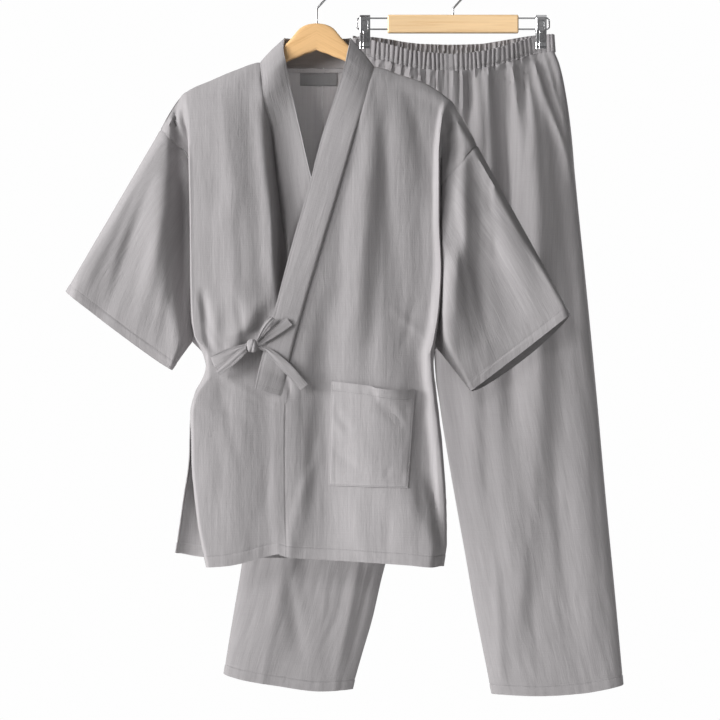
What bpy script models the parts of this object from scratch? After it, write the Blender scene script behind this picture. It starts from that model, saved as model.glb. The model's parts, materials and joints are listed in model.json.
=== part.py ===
"""A two-piece summer suit, hung up: a wrap jacket on a wooden hanger and, behind it, wide trousers on a clip hanger.

Lengths are in millimetres and become metres where meshes are made. x runs to the viewer's right, y away from the
viewer and z up. The tables give each height as a drop: how far it lies below the origin, which is the place where
the jacket hanger's hook bears on its peg. "left" and "right" are the wearer's, so left is the viewer's right.
"""
import math

import bpy
import numpy as np

MM = 0.001
SEAM = 0.3  # between two pieces that are sewn together
WALL = 1.2  # one layer of cloth
DOUBLE = 2.2  # a folded band: collar and ties
LEFT, RIGHT = 1, -1
FRONT, BACK = -1, 1


def table(columns, *rows):
    """Rows of numbers under named columns. The first column is the one that the others are read by."""
    return {name: np.array([row[i] for row in rows], float) for i, name in enumerate(columns.split())}


def read(rows, column, at):
    """A column at places between its rows, on a smooth curve that never overshoots them."""
    knots, values = next(iter(rows.values())), rows[column]
    at = np.clip(np.asarray(at, float), knots[0], knots[-1])
    step, slope = np.diff(knots), np.diff(values) / np.diff(knots)
    tangent = np.concatenate([slope[:1], np.zeros(len(knots) - 2), slope[-1:]])
    for i in np.flatnonzero(slope[:-1] * slope[1:] > 0):
        before, after = 2 * step[i + 1] + step[i], step[i + 1] + 2 * step[i]
        tangent[i + 1] = (before + after) / (before / slope[i] + after / slope[i + 1])
    i = np.clip(np.searchsorted(knots, at, side="right") - 1, 0, len(knots) - 2)
    t = (at - knots[i]) / step[i]
    return (
        values[i] * (1 + 2 * t) * (1 - t) ** 2
        + values[i + 1] * t * t * (3 - 2 * t)
        + step[i] * t * (1 - t) * (tangent[i] * (1 - t) - tangent[i + 1] * t)
    )


def mix(a, b, share):
    return a + (b - a) * share


def ease(share):
    share = np.clip(share, 0, 1)
    return share * share * (3 - 2 * share)


def quarter_round(share):
    """0 to 1 along a quarter of a circle, upright where it starts."""
    return np.sqrt(1 - (1 - np.clip(share, 0, 1)) ** 2)


# ---------------------------------------------------------------- the jacket's cut

UNDERARM = 0.48  # share of the way from shoulder to hem, at the armhole seam
ROWS_ABOVE, ROWS_BELOW = 13, 11
FRONT_COLUMNS, BACK_COLUMNS, SIDE_COLUMNS = 9, 3, 3
NECK_COLUMNS = 4
SLEEVE_SECTIONS = 6
SHOULDER_ROUND = 85  # drop over which the cloth comes forward from the shoulder
LAYERS_APART = 8  # the left front lies this far in front of the right one
BACK_SEAM = table("drop x", (138, 10), (500, 5), (875, 0))

SHOULDER = {
    RIGHT: table("x drop", (-234, 231), (-210, 193), (-195, 175), (-159, 158), (-121, 142), (-85, 131), (0, 131)),
    LEFT: table("x drop", (0, 137), (86, 137), (125, 149), (161, 161), (180, 172), (197, 185), (218, 214), (240, 254)),
}
NECK_X = {RIGHT: -85, LEFT: 86}
TIP_X = {RIGHT: -195, LEFT: 197}
SEAM_TOP_X = {RIGHT: -234, LEFT: 240}

# The edge that a front is cut to: the collar's seam from the neck down, then the plain front edge.
FRONT_EDGE = {
    RIGHT: table("drop x", (131.1, -85), (187, -78.3), (237.3, -67.1), (322, -57), (398.6, -47), (487.8, -31.1), (565.1, -17.2),
                 (621.6, 8.5), (649.3, 52.1), (698.9, 57.1), (859.5, 57.1)),
    LEFT: table("drop x", (137.5, 86), (212.2, 66), (302.1, 40.2), (398.6, 11.5), (487.8, -15.3), (577, -39), (621.6, -49),
                (643.4, -56.9), (716.7, -57.9), (817.9, -56.9), (867.5, -54.9)),
}
# The upright fold where each side of the body turns back towards its armhole.
FOLD_LINE = {
    RIGHT: table("drop x", (175, -195), (230, -190), (337, -187), (487, -185), (538, -181), (572, -160), (598, -158),
                 (629, -176), (657, -182), (720, -181), (817, -172), (886, -158)),
    LEFT: table("drop x", (185, 197), (212, 188), (279, 182), (367, 182), (438, 185), (495, 182), (553, 173),
                (570, 169), (593, 170), (669, 178), (727, 184), (802, 189), (850, 189), (884, 184)),
}
# The armhole seam, and below the underarm the side seam and the slit's edges.
ARMHOLE = {
    RIGHT: table("drop x y", (231, -234, 0), (249, -215, 4), (269, -195, 8), (300, -187, 9), (400, -185, 10),
                 (500, -186, 7), (549, -186, 0)),
    LEFT: table("drop x y", (254, 240, 0), (283, 214, 4), (312, 188, 8), (340, 181, 9), (420, 180, 10), (510, 180, 7),
                (558, 179, 0)),
}
SIDE = {
    (RIGHT, FRONT): table("drop x y", (549, -186, 0), (572, -167, 0), (598, -165, 0), (629, -183, 0), (657, -189, 0),
                          (721, -188, 7), (817, -179, 11), (887, -165, 13)),
    (LEFT, FRONT): table("drop x y", (558, 179, 0), (570, 175, 0), (593, 175.5, 0), (637, 180, 0), (669, 183.3, 0),
                         (727, 189.5, 7), (802, 194.5, 11), (850, 194.5, 13), (885, 190, 13)),
    (RIGHT, BACK): table("drop x y", (549, -186, 0), (572, -167, 0), (598, -165, 0), (629, -183, 0), (657, -189, 0),
                         (721, -191, 5), (790, -201, 7), (867, -212, 8)),
    (LEFT, BACK): table("drop x y", (558, 179, 0), (570, 175, 0), (593, 175.5, 0), (637, 180, 0), (669, 183.3, 0),
                        (727, 186, 5), (802, 186, 7), (850, 186, 8), (878, 185, 8)),
}
HEM = {
    (RIGHT, FRONT): table("x drop", (-163.1, 884.4), (-133.3, 882.4), (-110.5, 878.4), (-75.8, 869.5), (-56, 865.5), (57.1, 859.6)),
    (LEFT, FRONT): table("x drop", (-55, 867.5), (-39.1, 871.5), (-5.4, 873.5), (52.1, 876.4), (137.4, 881.4), (174.1, 884.4), (188.9, 882.4)),
    (RIGHT, BACK): table("x drop", (-212, 867), (-169, 874), (0, 876)),
    (LEFT, BACK): table("x drop", (0, 876), (185, 878)),
}
# How far the body stands out in front of the shoulder line, and behind it.
BODY_DEPTH = table("drop front back", (130, 24, 32), (250, 36, 33), (400, 41, 31), (600, 42, 29), (880, 40, 27))
SIDE_FLATTENING = 0.22
# The back of the collar: its seam and its upper edge, from the left side of the neck round to the right.
BACK_NECK = table("x drop y edge_x edge_drop edge_y",
                  (-85, 131, 0, -48, 94, 2), (-79, 133, 12, -46, 93.6, 12), (-60, 135, 23, -36, 93, 21),
                  (-30, 136, 29.5, -18, 92.2, 26.5), (5, 136.3, 31, 2, 92, 28), (34, 136.2, 29.5, 20, 92.2, 26.5),
                  (62, 136.2, 23, 37, 93, 21), (80, 136.6, 12, 48, 93.6, 12), (86, 137, 0, 51, 94, 2))
# The collar's free edge, read by the drop of the seam opposite.
COLLAR_EDGE = {
    RIGHT: table("seam_drop x drop y", (131.1, -48.1, 94, 2), (146, -49.7, 110.1, -11), (166.6, -45.5, 132.9, -19),
                 (192, -40.4, 162.2, -24), (237.3, -28.4, 214.4, -30), (322, -7.4, 305.1, -34), (398.6, 11.4, 381.5, -34),
                 (487.8, 33.2, 470.8, -34), (565.1, 53.1, 550.2, -34), (621.6, 68, 609.8, -34)),
    LEFT: table("seam_drop x drop y", (137.5, 51, 94, 2), (151.3, 47, 114.2, -12), (169.7, 43.1, 133.1, -21),
                (192, 35.2, 159.5, -27), (217.2, 25.3, 190.8, -32), (262.3, 6.5, 249.7, -37), (332, -11.3, 319.4, -41),
                (421.4, -37, 408.7, -44), (520.5, -62.7, 506.7, -46), (589.9, -81.5, 576, -47), (631.5, -91.3, 621.5, -48)),
}
COLLAR_END = {RIGHT: 622, LEFT: 632}

# Cuffs: the fold at the top of the sleeve and the corner at its underarm seam.
CUFF = {
    RIGHT: dict(top=(-376, 474), bottom=(-217, 592), depth=8, back_longer=2, bowed=1.5),
    LEFT: dict(top=(380, 507), bottom=(231, 623), depth=9, back_longer=11, bowed=1),
}
SLEEVE_FULLNESS = 13

# Soft ridges (height over 0) and troughs (under 0) that run straight from one point to another.
FOLDS = "x drop to_x to_drop width height"
FRONT_FOLDS = {
    RIGHT: table(FOLDS, (-72, 185, -34, 480, 11, -15), (-112, 165, -92, 560, 26, 5), (-140, 300, -150, 600, 16, -4),
                 (-150, 600, -60, 470, 20, 6), (-150, 640, -110, 880, 15, 5), (-120, 600, -90, 860, 13, -4)),
    LEFT: table(FOLDS, (96, 150, 60, 560, 20, 6), (108, 160, 74, 640, 14, -6), (120, 155, 140, 560, 18, 5),
                (20, 470, 0, 800, 20, -5), (-25, 640, -20, 860, 13, 4), (160, 560, 178, 830, 13, -5)),
}
BACK_FOLDS = table(FOLDS, (-110, 180, -90, 800, 22, 6), (-140, 260, -125, 860, 15, -5), (-45, 170, -55, 840, 26, 5),
                   (115, 180, 95, 800, 22, 6), (145, 260, 130, 860, 15, -5), (50, 170, 60, 840, 26, 5))
SLEEVE_FOLDS = {
    RIGHT: table(FOLDS, (-205, 255, -225, 560, 13, -7), (-240, 250, -330, 500, 20, 4), (-215, 300, -270, 540, 14, 4)),
    LEFT: table(FOLDS, (222, 300, 250, 560, 13, -7), (214, 300, 208, 520, 11, 5), (240, 290, 330, 520, 17, 5)),
}


def relief(folds, x, drop):
    """How far the folds push a surface out of its plain form."""
    total = np.zeros(np.shape(x))
    for x0, d0, x1, d1, width, height in zip(*folds.values()):
        along = ((x - x0) * (x1 - x0) + (drop - d0) * (d1 - d0)) / ((x1 - x0) ** 2 + (d1 - d0) ** 2)
        held = np.clip(along, 0, 1)
        off = np.hypot(x - mix(x0, x1, held), drop - mix(d0, d1, held))
        total += height * np.exp(-((off / width) ** 2)) * np.sin(np.pi * np.clip(along, 0, 1)) ** 0.7
    return total


def rows_of(above=ROWS_ABOVE, below=ROWS_BELOW):
    """The share down the panel of each row: closer at the shoulder, with a row at the underarm."""
    upper = UNDERARM * (np.arange(above) / above) ** 1.45
    return np.concatenate([upper, mix(UNDERARM, 1, np.arange(below + 1) / below)])


def stack(x, drop, y):
    return np.stack(np.broadcast_arrays(x, y, -np.asarray(drop, float)), axis=-1)


def body_y(side, face, x, drop, top_drop, top_y=0.0):
    """The body's plain form: flat over the chest and back, rounded over the shoulder."""
    full = read(BODY_DEPTH, "front" if face == FRONT else "back", drop) * (1 - SIDE_FLATTENING * (x / TIP_X[side]) ** 2)
    if (side, face) == (RIGHT, FRONT):
        full = full - LAYERS_APART * ease((x + 140) / 80)
    return face * mix(top_y, full, quarter_round((drop - top_drop) / SHOULDER_ROUND))


def front_edge(side, v):
    drop = mix(FRONT_EDGE[side]["drop"][0], FRONT_EDGE[side]["drop"][-1], v)
    x = read(FRONT_EDGE[side], "x", drop)
    y = body_y(side, FRONT, x, drop, read(SHOULDER[side], "drop", x))
    return stack(x, drop, y - relief(FRONT_FOLDS[side], x, drop) * ease((drop - 140) / 60))


def fold_line(side, face, v):
    rows = FOLD_LINE[side]
    drop = mix(rows["drop"][0], rows["drop"][-1], v)
    x = read(rows, "x", drop)
    if face == BACK:  # the back's slit edge flares past the front's, and its hem is a little higher
        x = x + read(SIDE[side, BACK], "x", drop) - read(SIDE[side, FRONT], "x", drop)
        drop = mix(rows["drop"][0], read(HEM[side, BACK], "drop", x[-1]), v)
    return stack(x, drop, body_y(side, face, x, drop, rows["drop"][0]))


def armhole(side, face, v):
    """Down the armhole seam to the underarm, then down the side."""
    seam, edge = ARMHOLE[side], SIDE[side, face]
    upper = mix(seam["drop"][0], seam["drop"][-1], np.clip(v / UNDERARM, 0, 1))
    lower = mix(edge["drop"][0], edge["drop"][-1], np.clip((v - UNDERARM) / (1 - UNDERARM), 0, 1))
    above = v < UNDERARM
    x = np.where(above, read(seam, "x", upper), read(edge, "x", lower))
    y = np.where(above, read(seam, "y", upper), read(edge, "y", lower))
    return stack(x, np.where(above, upper, lower), face * np.maximum(y, SEAM / 2))


def coons(first, last, top, bottom):
    """A patch between four edges: its first and last columns, its top row and its bottom row."""
    v = np.linalg.norm(first - first[:1], axis=-1) / np.linalg.norm(first[-1] - first[0])
    u = np.linalg.norm(top - top[:1], axis=-1) / np.linalg.norm(top[-1] - top[0])
    v, u = v[:, None, None], u[None, :, None]
    corners = mix(mix(top[0], top[-1], u), mix(bottom[0], bottom[-1], u), v)
    return mix(first[:, None], last[:, None], u) + mix(top[None], bottom[None], v) - corners


def turned_side(line, seam, columns, reach):
    """The cloth that turns round the upright fold and back to the armhole seam, one row for each row of the panel."""
    q = (np.arange(1, columns + 1) / columns)[None, :, None]
    leaving = np.zeros_like(line)
    leaving[:, 0] = reach
    arriving = seam - line
    arriving[:, 0] *= 0.6
    return (
        line[:, None] * (1 + 2 * q) * (1 - q) ** 2
        + seam[:, None] * q * q * (3 - 2 * q)
        + leaving[:, None] * q * (1 - q) ** 2
        - arriving[:, None] * q * q * (1 - q)
    )


def shoulder_row(side, xs):
    return stack(xs, read(SHOULDER[side], "drop", xs), 0)


def hem_row(side, face, start, end, u):
    xs = mix(start, end, u)
    return stack(xs, read(HEM[side, face], "drop", xs), 0)


def front_panel(side, rows=None, across=None, side_columns=SIDE_COLUMNS):
    """A front as a grid of points: rows from the shoulder to the hem, columns from the collar to the armhole."""
    v = rows_of() if rows is None else rows
    u = np.linspace(0, 1, FRONT_COLUMNS + 1) if across is None else across
    edge, line, seam = front_edge(side, v), fold_line(side, FRONT, v), armhole(side, FRONT, v)
    edge = edge + np.array([side * SEAM * 1.1, 0, 0])
    top = shoulder_row(side, mix(edge[0, 0], TIP_X[side], u))
    bottom = hem_row(side, FRONT, edge[-1, 0], line[-1, 0], u)
    chest = coons(edge, line, top, bottom)
    x, drop = chest[..., 0], -chest[..., 2]
    plain = body_y(side, FRONT, x, drop, -top[None, :, 2])
    held = ease((drop + top[None, :, 2]) / 60) * ease((1 - u) * 4)[None]
    chest[..., 1] = np.minimum(plain - relief(FRONT_FOLDS[side], x, drop) * held, -WALL - SEAM)
    chest[:, 0] = edge
    chest[0, :, 1] = -SEAM / 2
    grid = np.concatenate([chest, turned_side(chest[:, -1], seam, side_columns, side * 22)], axis=1)
    grid[0, len(u) - 1:, 2] = -read(SHOULDER[side], "drop", grid[0, len(u) - 1:, 0])
    grid[0, :, 1] = -SEAM / 2
    return grid


def back_neck(side, share):
    """The neck seam, from the back seam out to the shoulder."""
    xs = mix(read(BACK_SEAM, "x", 138), NECK_X[side], share)
    return stack(xs, read(BACK_NECK, "drop", xs), read(BACK_NECK, "y", xs))


def neck_shares(columns=NECK_COLUMNS):
    return np.sin(np.linspace(0, math.pi / 2, columns + 1))


def back_panel(side, rows=None, neck_columns=NECK_COLUMNS, columns=BACK_COLUMNS, side_columns=SIDE_COLUMNS):
    """Half of the back, from the centre seam to the armhole."""
    v = rows_of() if rows is None else rows
    neck = back_neck(side, neck_shares(neck_columns))
    shoulder = shoulder_row(side, mix(NECK_X[side], TIP_X[side], np.arange(1, columns + 1) / columns))
    top = np.concatenate([neck, shoulder]) + np.array([0, 0, -SEAM])
    drop = mix(-top[0, 2], 876, v)
    centre = stack(read(BACK_SEAM, "x", drop) + side * SEAM / 2, drop, 0)
    top[0, 0] = centre[0, 0]
    line, seam = fold_line(side, BACK, v), armhole(side, BACK, v)
    bottom = hem_row(side, BACK, centre[-1, 0], line[-1, 0], np.linspace(0, 1, len(top)))
    grid = coons(centre, line, top, bottom)
    x, drop = grid[..., 0], -grid[..., 2]
    plain = body_y(side, BACK, x, drop, -top[None, :, 2], top[None, :, 1])
    inward = np.abs(x - grid[:, :1, 0])
    held = ease((drop + top[None, :, 2]) / 60) * ease(inward / 30) * ease((1 - np.linspace(0, 1, len(top))) * 4)[None]
    grid[..., 1] = np.maximum(plain + relief(BACK_FOLDS, x, drop) * held, WALL + SEAM)
    grid = np.concatenate([grid, turned_side(grid[:, -1], seam, side_columns, side * 22)], axis=1)
    grid[0, len(top) - 1:, 2] = -read(SHOULDER[side], "drop", grid[0, len(top) - 1:, 0])
    grid[0, neck_columns:, 1] = SEAM / 2
    return grid


def sleeve(side, above=ROWS_ABOVE, sections=SLEEVE_SECTIONS):
    """A sleeve as a tube: rows from the armhole to the cuff, columns round it, down the front and up the back."""
    v = rows_of(above)[: above + 1]
    down = np.arange(above + 1) / above
    share, fullness = (1 - np.cos(math.pi * down)) / 2, np.sin(math.pi * down)
    cuff = CUFF[side]
    loops = []
    for face in (FRONT, BACK):
        start = armhole(side, face, v)
        x = mix(cuff["top"][0], cuff["bottom"][0], share)
        drop = mix(cuff["top"][1], cuff["bottom"][1], share)
        x = x + side * cuff["bowed"] * fullness
        drop = drop + cuff["bowed"] * fullness
        if face == BACK:  # the far edge of the cuff hangs a little lower
            x = x + side * cuff["back_longer"] * fullness * 0.6
            drop = drop + cuff["back_longer"] * fullness * 0.8
        end = stack(x, drop, face * cuff["depth"] * fullness)
        start[[0, -1], 1] = end[[0, -1], 1] = 0
        start = start + (end - start) * SEAM / np.linalg.norm(end - start, axis=-1, keepdims=True)
        s = np.linspace(0, 1, sections + 1)[:, None, None]
        points = mix(start[None], end[None], s)
        points[..., 1] += face * SLEEVE_FULLNESS * fullness * (4 * s * (1 - s))[..., 0]
        folds = relief(SLEEVE_FOLDS[side], points[..., 0], -points[..., 2])
        points[..., 1] += face * folds * np.minimum(fullness * 2, 1) * ease(s[..., 0] * 5)
        loops.append(points)
    return np.concatenate([loops[0], loops[1][:, -2:0:-1]], axis=1)


def collar_rungs(side, v):
    """The collar's seam and free edge down one front, at the rows of that front that it reaches."""
    seam = front_edge(side, v)
    seam = seam[-seam[:, 2] < COLLAR_END[side]]
    edge = COLLAR_EDGE[side]
    free = stack(*(read(edge, name, -seam[:, 2]) for name in ("x", "drop", "y")))
    return seam, free


def collar(rows=None, neck_columns=NECK_COLUMNS, across=3):
    """One long band: up the right front, round the back of the neck and down the left front."""
    v = rows_of() if rows is None else rows
    seam_right, free_right = collar_rungs(RIGHT, v)
    seam_left, free_left = collar_rungs(LEFT, v)
    shares = neck_shares(neck_columns)
    seam_back = np.concatenate([back_neck(RIGHT, shares)[-2::-1], back_neck(LEFT, shares)[1:-1]])
    at = seam_back[:, 0]
    free_back = stack(read(BACK_NECK, "edge_x", at), read(BACK_NECK, "edge_drop", at), read(BACK_NECK, "edge_y", at))
    seam = np.concatenate([seam_right[::-1], seam_back, seam_left])
    free = np.concatenate([free_right[::-1], free_back, free_left])
    q = np.linspace(0, 1, across + 1)[None, :, None]
    return mix(seam[:, None], free[:, None], q)


# ---------------------------------------------------------------- pocket, label, tape and ties

POCKET = dict(top_left=(22.4, 608.7), top_right=(147.2, 620.6), bottom_left=(17.5, 764.2), bottom_right=(136.3, 767.2), gape=3.5, lift=0.6)
LABEL = dict(x=(-25.5, 29.8), drop=(144.4, 163), wall=0.8)
TAPE = dict(x=(-62, 60), drop=(137.3, 143.6), wall=0.7)
RIBBON_WALL, RIBBON_LIFT = 1.0, 1.5
# The bow: each ribbon as stations along its middle, with the direction across it in x and drop.
RIBBON = "at x drop y across_x across_drop width"
BOW = {
    "tie_left_loop": table(RIBBON, (0, -103.1, 556.6, -46.6, 0.1, 1, 6), (1, -117, 560.8, -45.6, 0.3, 0.95, 10),
                           (2, -137, 569.8, -45.2, 0.4, 0.9, 13.5), (3, -153.6, 580.2, -48.7, 0.37, 0.93, 15.5),
                           (4, -138, 573.6, -52.2, 0.4, 0.9, 14.5), (5, -118, 563, -52, 0.4, 0.9, 10),
                           (6, -103.1, 556.8, -49.6, 0.1, 1, 6)),
    "tie_left_tail": table(RIBBON, (0, -104, 560.4, -54.4, 0.3, 0.95, 10), (1, -112, 567.4, -56.2, 0.55, 0.84, 11.8),
                           (2, -124.4, 578.6, -56, 0.6, 0.8, 11.8), (3, -146.4, 596.4, -54.4, 0.72, 0.69, 11)),
    "tie_right_loop": table(RIBBON, (0, -87.3, 549.3, -52.6, 0, 1, 4), (1, -79.4, 534.5, -53, 0.8, 0.5, 7),
                            (2, -70.5, 521.6, -53.4, 0.8, 0.5, 9), (3, -64.5, 514.7, -55.6, 0.8, 0.5, 9),
                            (4, -71.5, 521.6, -58, 0.8, 0.5, 9), (5, -80.4, 534.5, -57.4, 0.8, 0.5, 7),
                            (6, -87.3, 549.3, -55.2, 0, 1, 4)),
    "tie_right_end": table(RIBBON, (0, -87.3, 553.3, -51.4, 0, 1, 7), (1, -66.5, 538.4, -51.6, 0.6, 0.8, 13),
                           (2, -53.7, 529.5, -51.4, 0.6, 0.8, 14), (3, -39.8, 519.6, -50.6, 0.7, 0.8, 14)),
    "tie_right_tail": table(RIBBON, (0, -87.3, 558.2, -49.6, 0, 1, 6), (1, -74.4, 561.2, -49.8, -0.4, 0.9, 6),
                            (2, -65.5, 568.1, -50, -0.7, 0.7, 11), (3, -39.8, 592.8, -50, -0.8, 0.7, 15),
                            (4, -18.1, 617.5, -46.6, -0.8, 0.6, 14)),
    "tie_side_strip": table(RIBBON, (0, -155.5, 578, 0, 0.1, 1, 12), (1, -137.7, 571.6, 0, 0.1, 1, 12),
                            (2, -117.9, 562.2, 0, -0.1, 1, 10), (3, -103.1, 556.2, -44.6, 0.1, 1, 8)),
}
KNOT = dict(x=-95.2, drop=556, y=-49.9, width=15, height=20, depth=15)


def y_on(grids, x, drop):
    """The y of panels, given by their grids, at places within them."""
    corners = []
    for grid in grids:
        a, b, c, d = grid[:-1, :-1], grid[:-1, 1:], grid[1:, 1:], grid[1:, :-1]
        corners += [np.stack([a, b, c], axis=2).reshape(-1, 3, 3), np.stack([a, c, d], axis=2).reshape(-1, 3, 3)]
    corners = np.concatenate(corners)
    flat = corners[..., [0, 2]]
    e1, e2 = flat[:, 1] - flat[:, 0], flat[:, 2] - flat[:, 0]
    area = e1[:, 0] * e2[:, 1] - e1[:, 1] * e2[:, 0]
    area = np.where(np.abs(area) < 1e-6, 1e-6, area)
    found = np.zeros(np.shape(x))
    for place in np.ndindex(found.shape):
        p = np.array([x[place], -drop[place]]) - flat[:, 0]
        s = (p[:, 0] * e2[:, 1] - p[:, 1] * e2[:, 0]) / area
        t = (e1[:, 0] * p[:, 1] - e1[:, 1] * p[:, 0]) / area
        nearest = int(np.argmax(np.minimum(np.minimum(s, t), 1 - s - t)))
        ys = corners[nearest, :, 1]
        found[place] = ys[0] + s[nearest] * (ys[1] - ys[0]) + t[nearest] * (ys[2] - ys[0])
    return found


def pocket_panel(rows=8, columns=8):
    u, v = np.meshgrid(np.linspace(0, 1, columns + 1), np.linspace(0, 1, rows + 1))
    corners = {name: np.array(place, float) for name, place in POCKET.items() if name not in ("gape", "lift")}
    u3, v3 = u[..., None], v[..., None]
    at = mix(mix(corners["top_left"], corners["top_right"], u3),
             mix(corners["bottom_left"], corners["bottom_right"], u3), v3)
    gape = POCKET["gape"] * np.sin(math.pi * u) ** 2 * (1 - ease(v * 2.2))
    under = y_on([front_panel(LEFT)], at[..., 0], at[..., 1])
    return stack(at[..., 0], at[..., 1], under - POCKET["lift"] - WALL - gape)


def lining_strip(box, lift, rows, columns):
    """A flat strip that lies on the inside of the back."""
    x, drop = np.meshgrid(np.linspace(*box["x"], columns + 1), np.linspace(*box["drop"], rows + 1))
    return stack(x, drop, y_on([back_panel(RIGHT), back_panel(LEFT)], x, drop) - WALL - lift)


def ribbon(rows, steps=8, across=2):
    at = np.linspace(rows["at"][0], rows["at"][-1], steps + 1)
    middle = stack(*(read(rows, name, at) for name in ("x", "drop", "y")))
    over = stack(read(rows, "across_x", at), read(rows, "across_drop", at), 0)
    over /= np.linalg.norm(over, axis=-1, keepdims=True)
    reach = read(rows, "width", at)[:, None, None] * np.linspace(-0.5, 0.5, across + 1)[None, :, None]
    points = middle[:, None] + over[:, None] * reach
    beneath = y_on([front_panel(RIGHT)], points[..., 0], -points[..., 2])
    points[..., 1] = np.minimum(points[..., 1], beneath - RIBBON_LIFT)
    return points


# ---------------------------------------------------------------- the trousers' cut

TROUSERS_Y = 80  # the middle plane of the trousers
CROTCH = 0.43  # share of the way from waist to hem
LEG_ROWS_ABOVE, LEG_ROWS_BELOW = 9, 6
LEG_COLUMNS = {FRONT: 22, BACK: 14}
WAIST = dict(left=362, right=54, band=26)
GATHERS = 44  # waves in the front of the waistband, and as many in the back
GATHER_HEIGHT = 1.5
WAIST_LINE = table("x front_drop back_drop half_depth puff",
                   (54, 86, 82, 0.2, 0.2), (56.5, 86, 82, 3.5, 0.6), (60, 87, 83, 4.6, 0.6), (65, 87.5, 83, 2.4, 0.3),
                   (80, 88, 83.5, 2.4, 0.3), (88, 91, 84, 5, 0.8), (111, 97, 86.5, 12, 1), (135, 104, 90, 18, 1),
                   (162, 109, 92.4, 21, 1), (206, 112, 93.3, 23, 1), (248, 108, 92.5, 21, 1), (275, 102, 89, 17, 1),
                   (303, 93.5, 85, 10, 1), (322, 86.5, 82.5, 4.5, 0.8), (333, 84, 81.5, 2.4, 0.3),
                   (349, 81, 80.5, 2.4, 0.3), (355, 80, 80, 4.6, 0.6), (359.5, 80, 80, 3.5, 0.6), (362, 81, 80, 0.2, 0.2))
CENTRE_SEAM = table("drop x", (104, 197), (300, 190), (480, 180), (560, 178))
INSEAM = {
    RIGHT: table("drop x", (560, 177.5), (607, 174), (668, 162), (729, 146), (790, 131), (850, 114.5), (911, 98),
                 (972, 84), (1032, 66.5), (1066, 57), (1079, 54)),
    LEFT: table("drop x", (560, 177.5), (608, 181), (638, 185.6), (669, 190), (730, 200), (821, 216), (882, 227),
                (943, 237.5), (1005, 249.7), (1066, 262), (1086, 266)),
}
OUTSEAM = {
    RIGHT: table("drop x", (112, 54), (140, 44), (182, 22), (260, -8), (334, -28), (486, -57), (638, -83), (790, -105),
                 (885, -115), (964, -128), (1043, -141), (1056, -143)),
    LEFT: table("drop x", (107, 362), (124, 369), (166, 378.5), (234, 388), (292, 393), (334, 397), (486, 412.5),
                (638, 427), (790, 440.5), (941, 455), (1072, 467)),
}
LEG_HEM = {
    RIGHT: table("x drop", (-143, 1056), (-114, 1063.5), (-64, 1072), (8, 1081), (54, 1079)),
    LEFT: table("x drop", (266, 1086), (336, 1088), (403, 1084), (434, 1079), (467, 1072)),
}
LEG_DEPTH = table("drop half_depth", (100, 22), (250, 28), (420, 30), (600, 28), (850, 24), (1088, 22))
# Folds under the waistband: place across half of the waist, from the centre seam out, and how each fades.
TOP_FOLDS = table("across reach width height",
                  (0.07, 0.16, 0.022, 3.2), (0.16, 0.22, 0.026, 3.6), (0.27, 0.14, 0.022, 3.2), (0.37, 0.36, 0.032, 5.5),
                  (0.49, 0.20, 0.024, 3.8), (0.59, 0.30, 0.032, 5.2), (0.70, 0.16, 0.024, 3.6), (0.80, 0.30, 0.026, 4.4),
                  (0.90, 0.22, 0.022, 3.2))
LEG_FOLDS = {
    RIGHT: table(FOLDS, (110, 200, 40, 900, 24, 6), (60, 200, -30, 950, 20, -5), (20, 400, -60, 1040, 18, 5)),
    LEFT: table(FOLDS, (235, 170, 290, 900, 18, 6), (283, 140, 300, 700, 13, -9), (320, 150, 350, 760, 18, 7),
                (350, 150, 395, 560, 11, -6), (300, 620, 330, 1000, 20, -6), (395, 480, 420, 1040, 18, 5)),
}


def waist_ring(face, x):
    """Half of the waistband's plain ring: drop of its top edge and y."""
    drop = read(WAIST_LINE, "front_drop" if face == FRONT else "back_drop", x)
    return drop, TROUSERS_Y + face * read(WAIST_LINE, "half_depth", x)


def waistband(face, steps=2, rings=2):
    """The casing over the elastic: a wall that puffs out between sharp creases."""
    count = GATHERS * steps
    share = np.arange(count + 1) / count
    x = mix(WAIST["right"], WAIST["left"], share)
    drop, y = waist_ring(face, x)
    crease = np.where(np.arange(count + 1) % steps == 0, -1.0, 0.7)
    down = np.linspace(0, 1, rings + 1)
    bulge = np.array([0.75, 1.0, 0.85]) if rings == 2 else 1 - 0.25 * np.abs(2 * down - 1)
    wave = crease * GATHER_HEIGHT * read(WAIST_LINE, "puff", x)
    wave[[0, -1]] = 0
    points = np.zeros((rings + 1, count + 1, 3))
    for i, (q, size) in enumerate(zip(down, bulge)):
        lean = (x - 208) * 0.012 * q
        points[i] = stack(x + lean, drop + WAIST["band"] * q, y + face * wave * size)
    return points


def leg_rows(above=LEG_ROWS_ABOVE, below=LEG_ROWS_BELOW):
    upper = CROTCH * (np.arange(above) / above) ** 1.25
    return np.concatenate([upper, mix(CROTCH, 1, np.arange(below + 1) / below)])


def leg_shares(columns):
    """Places across a leg, closer together at its two edges."""
    even = np.linspace(0, 1, columns + 1)
    return 0.5 * even + 0.25 * (1 - np.cos(math.pi * even))


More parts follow.
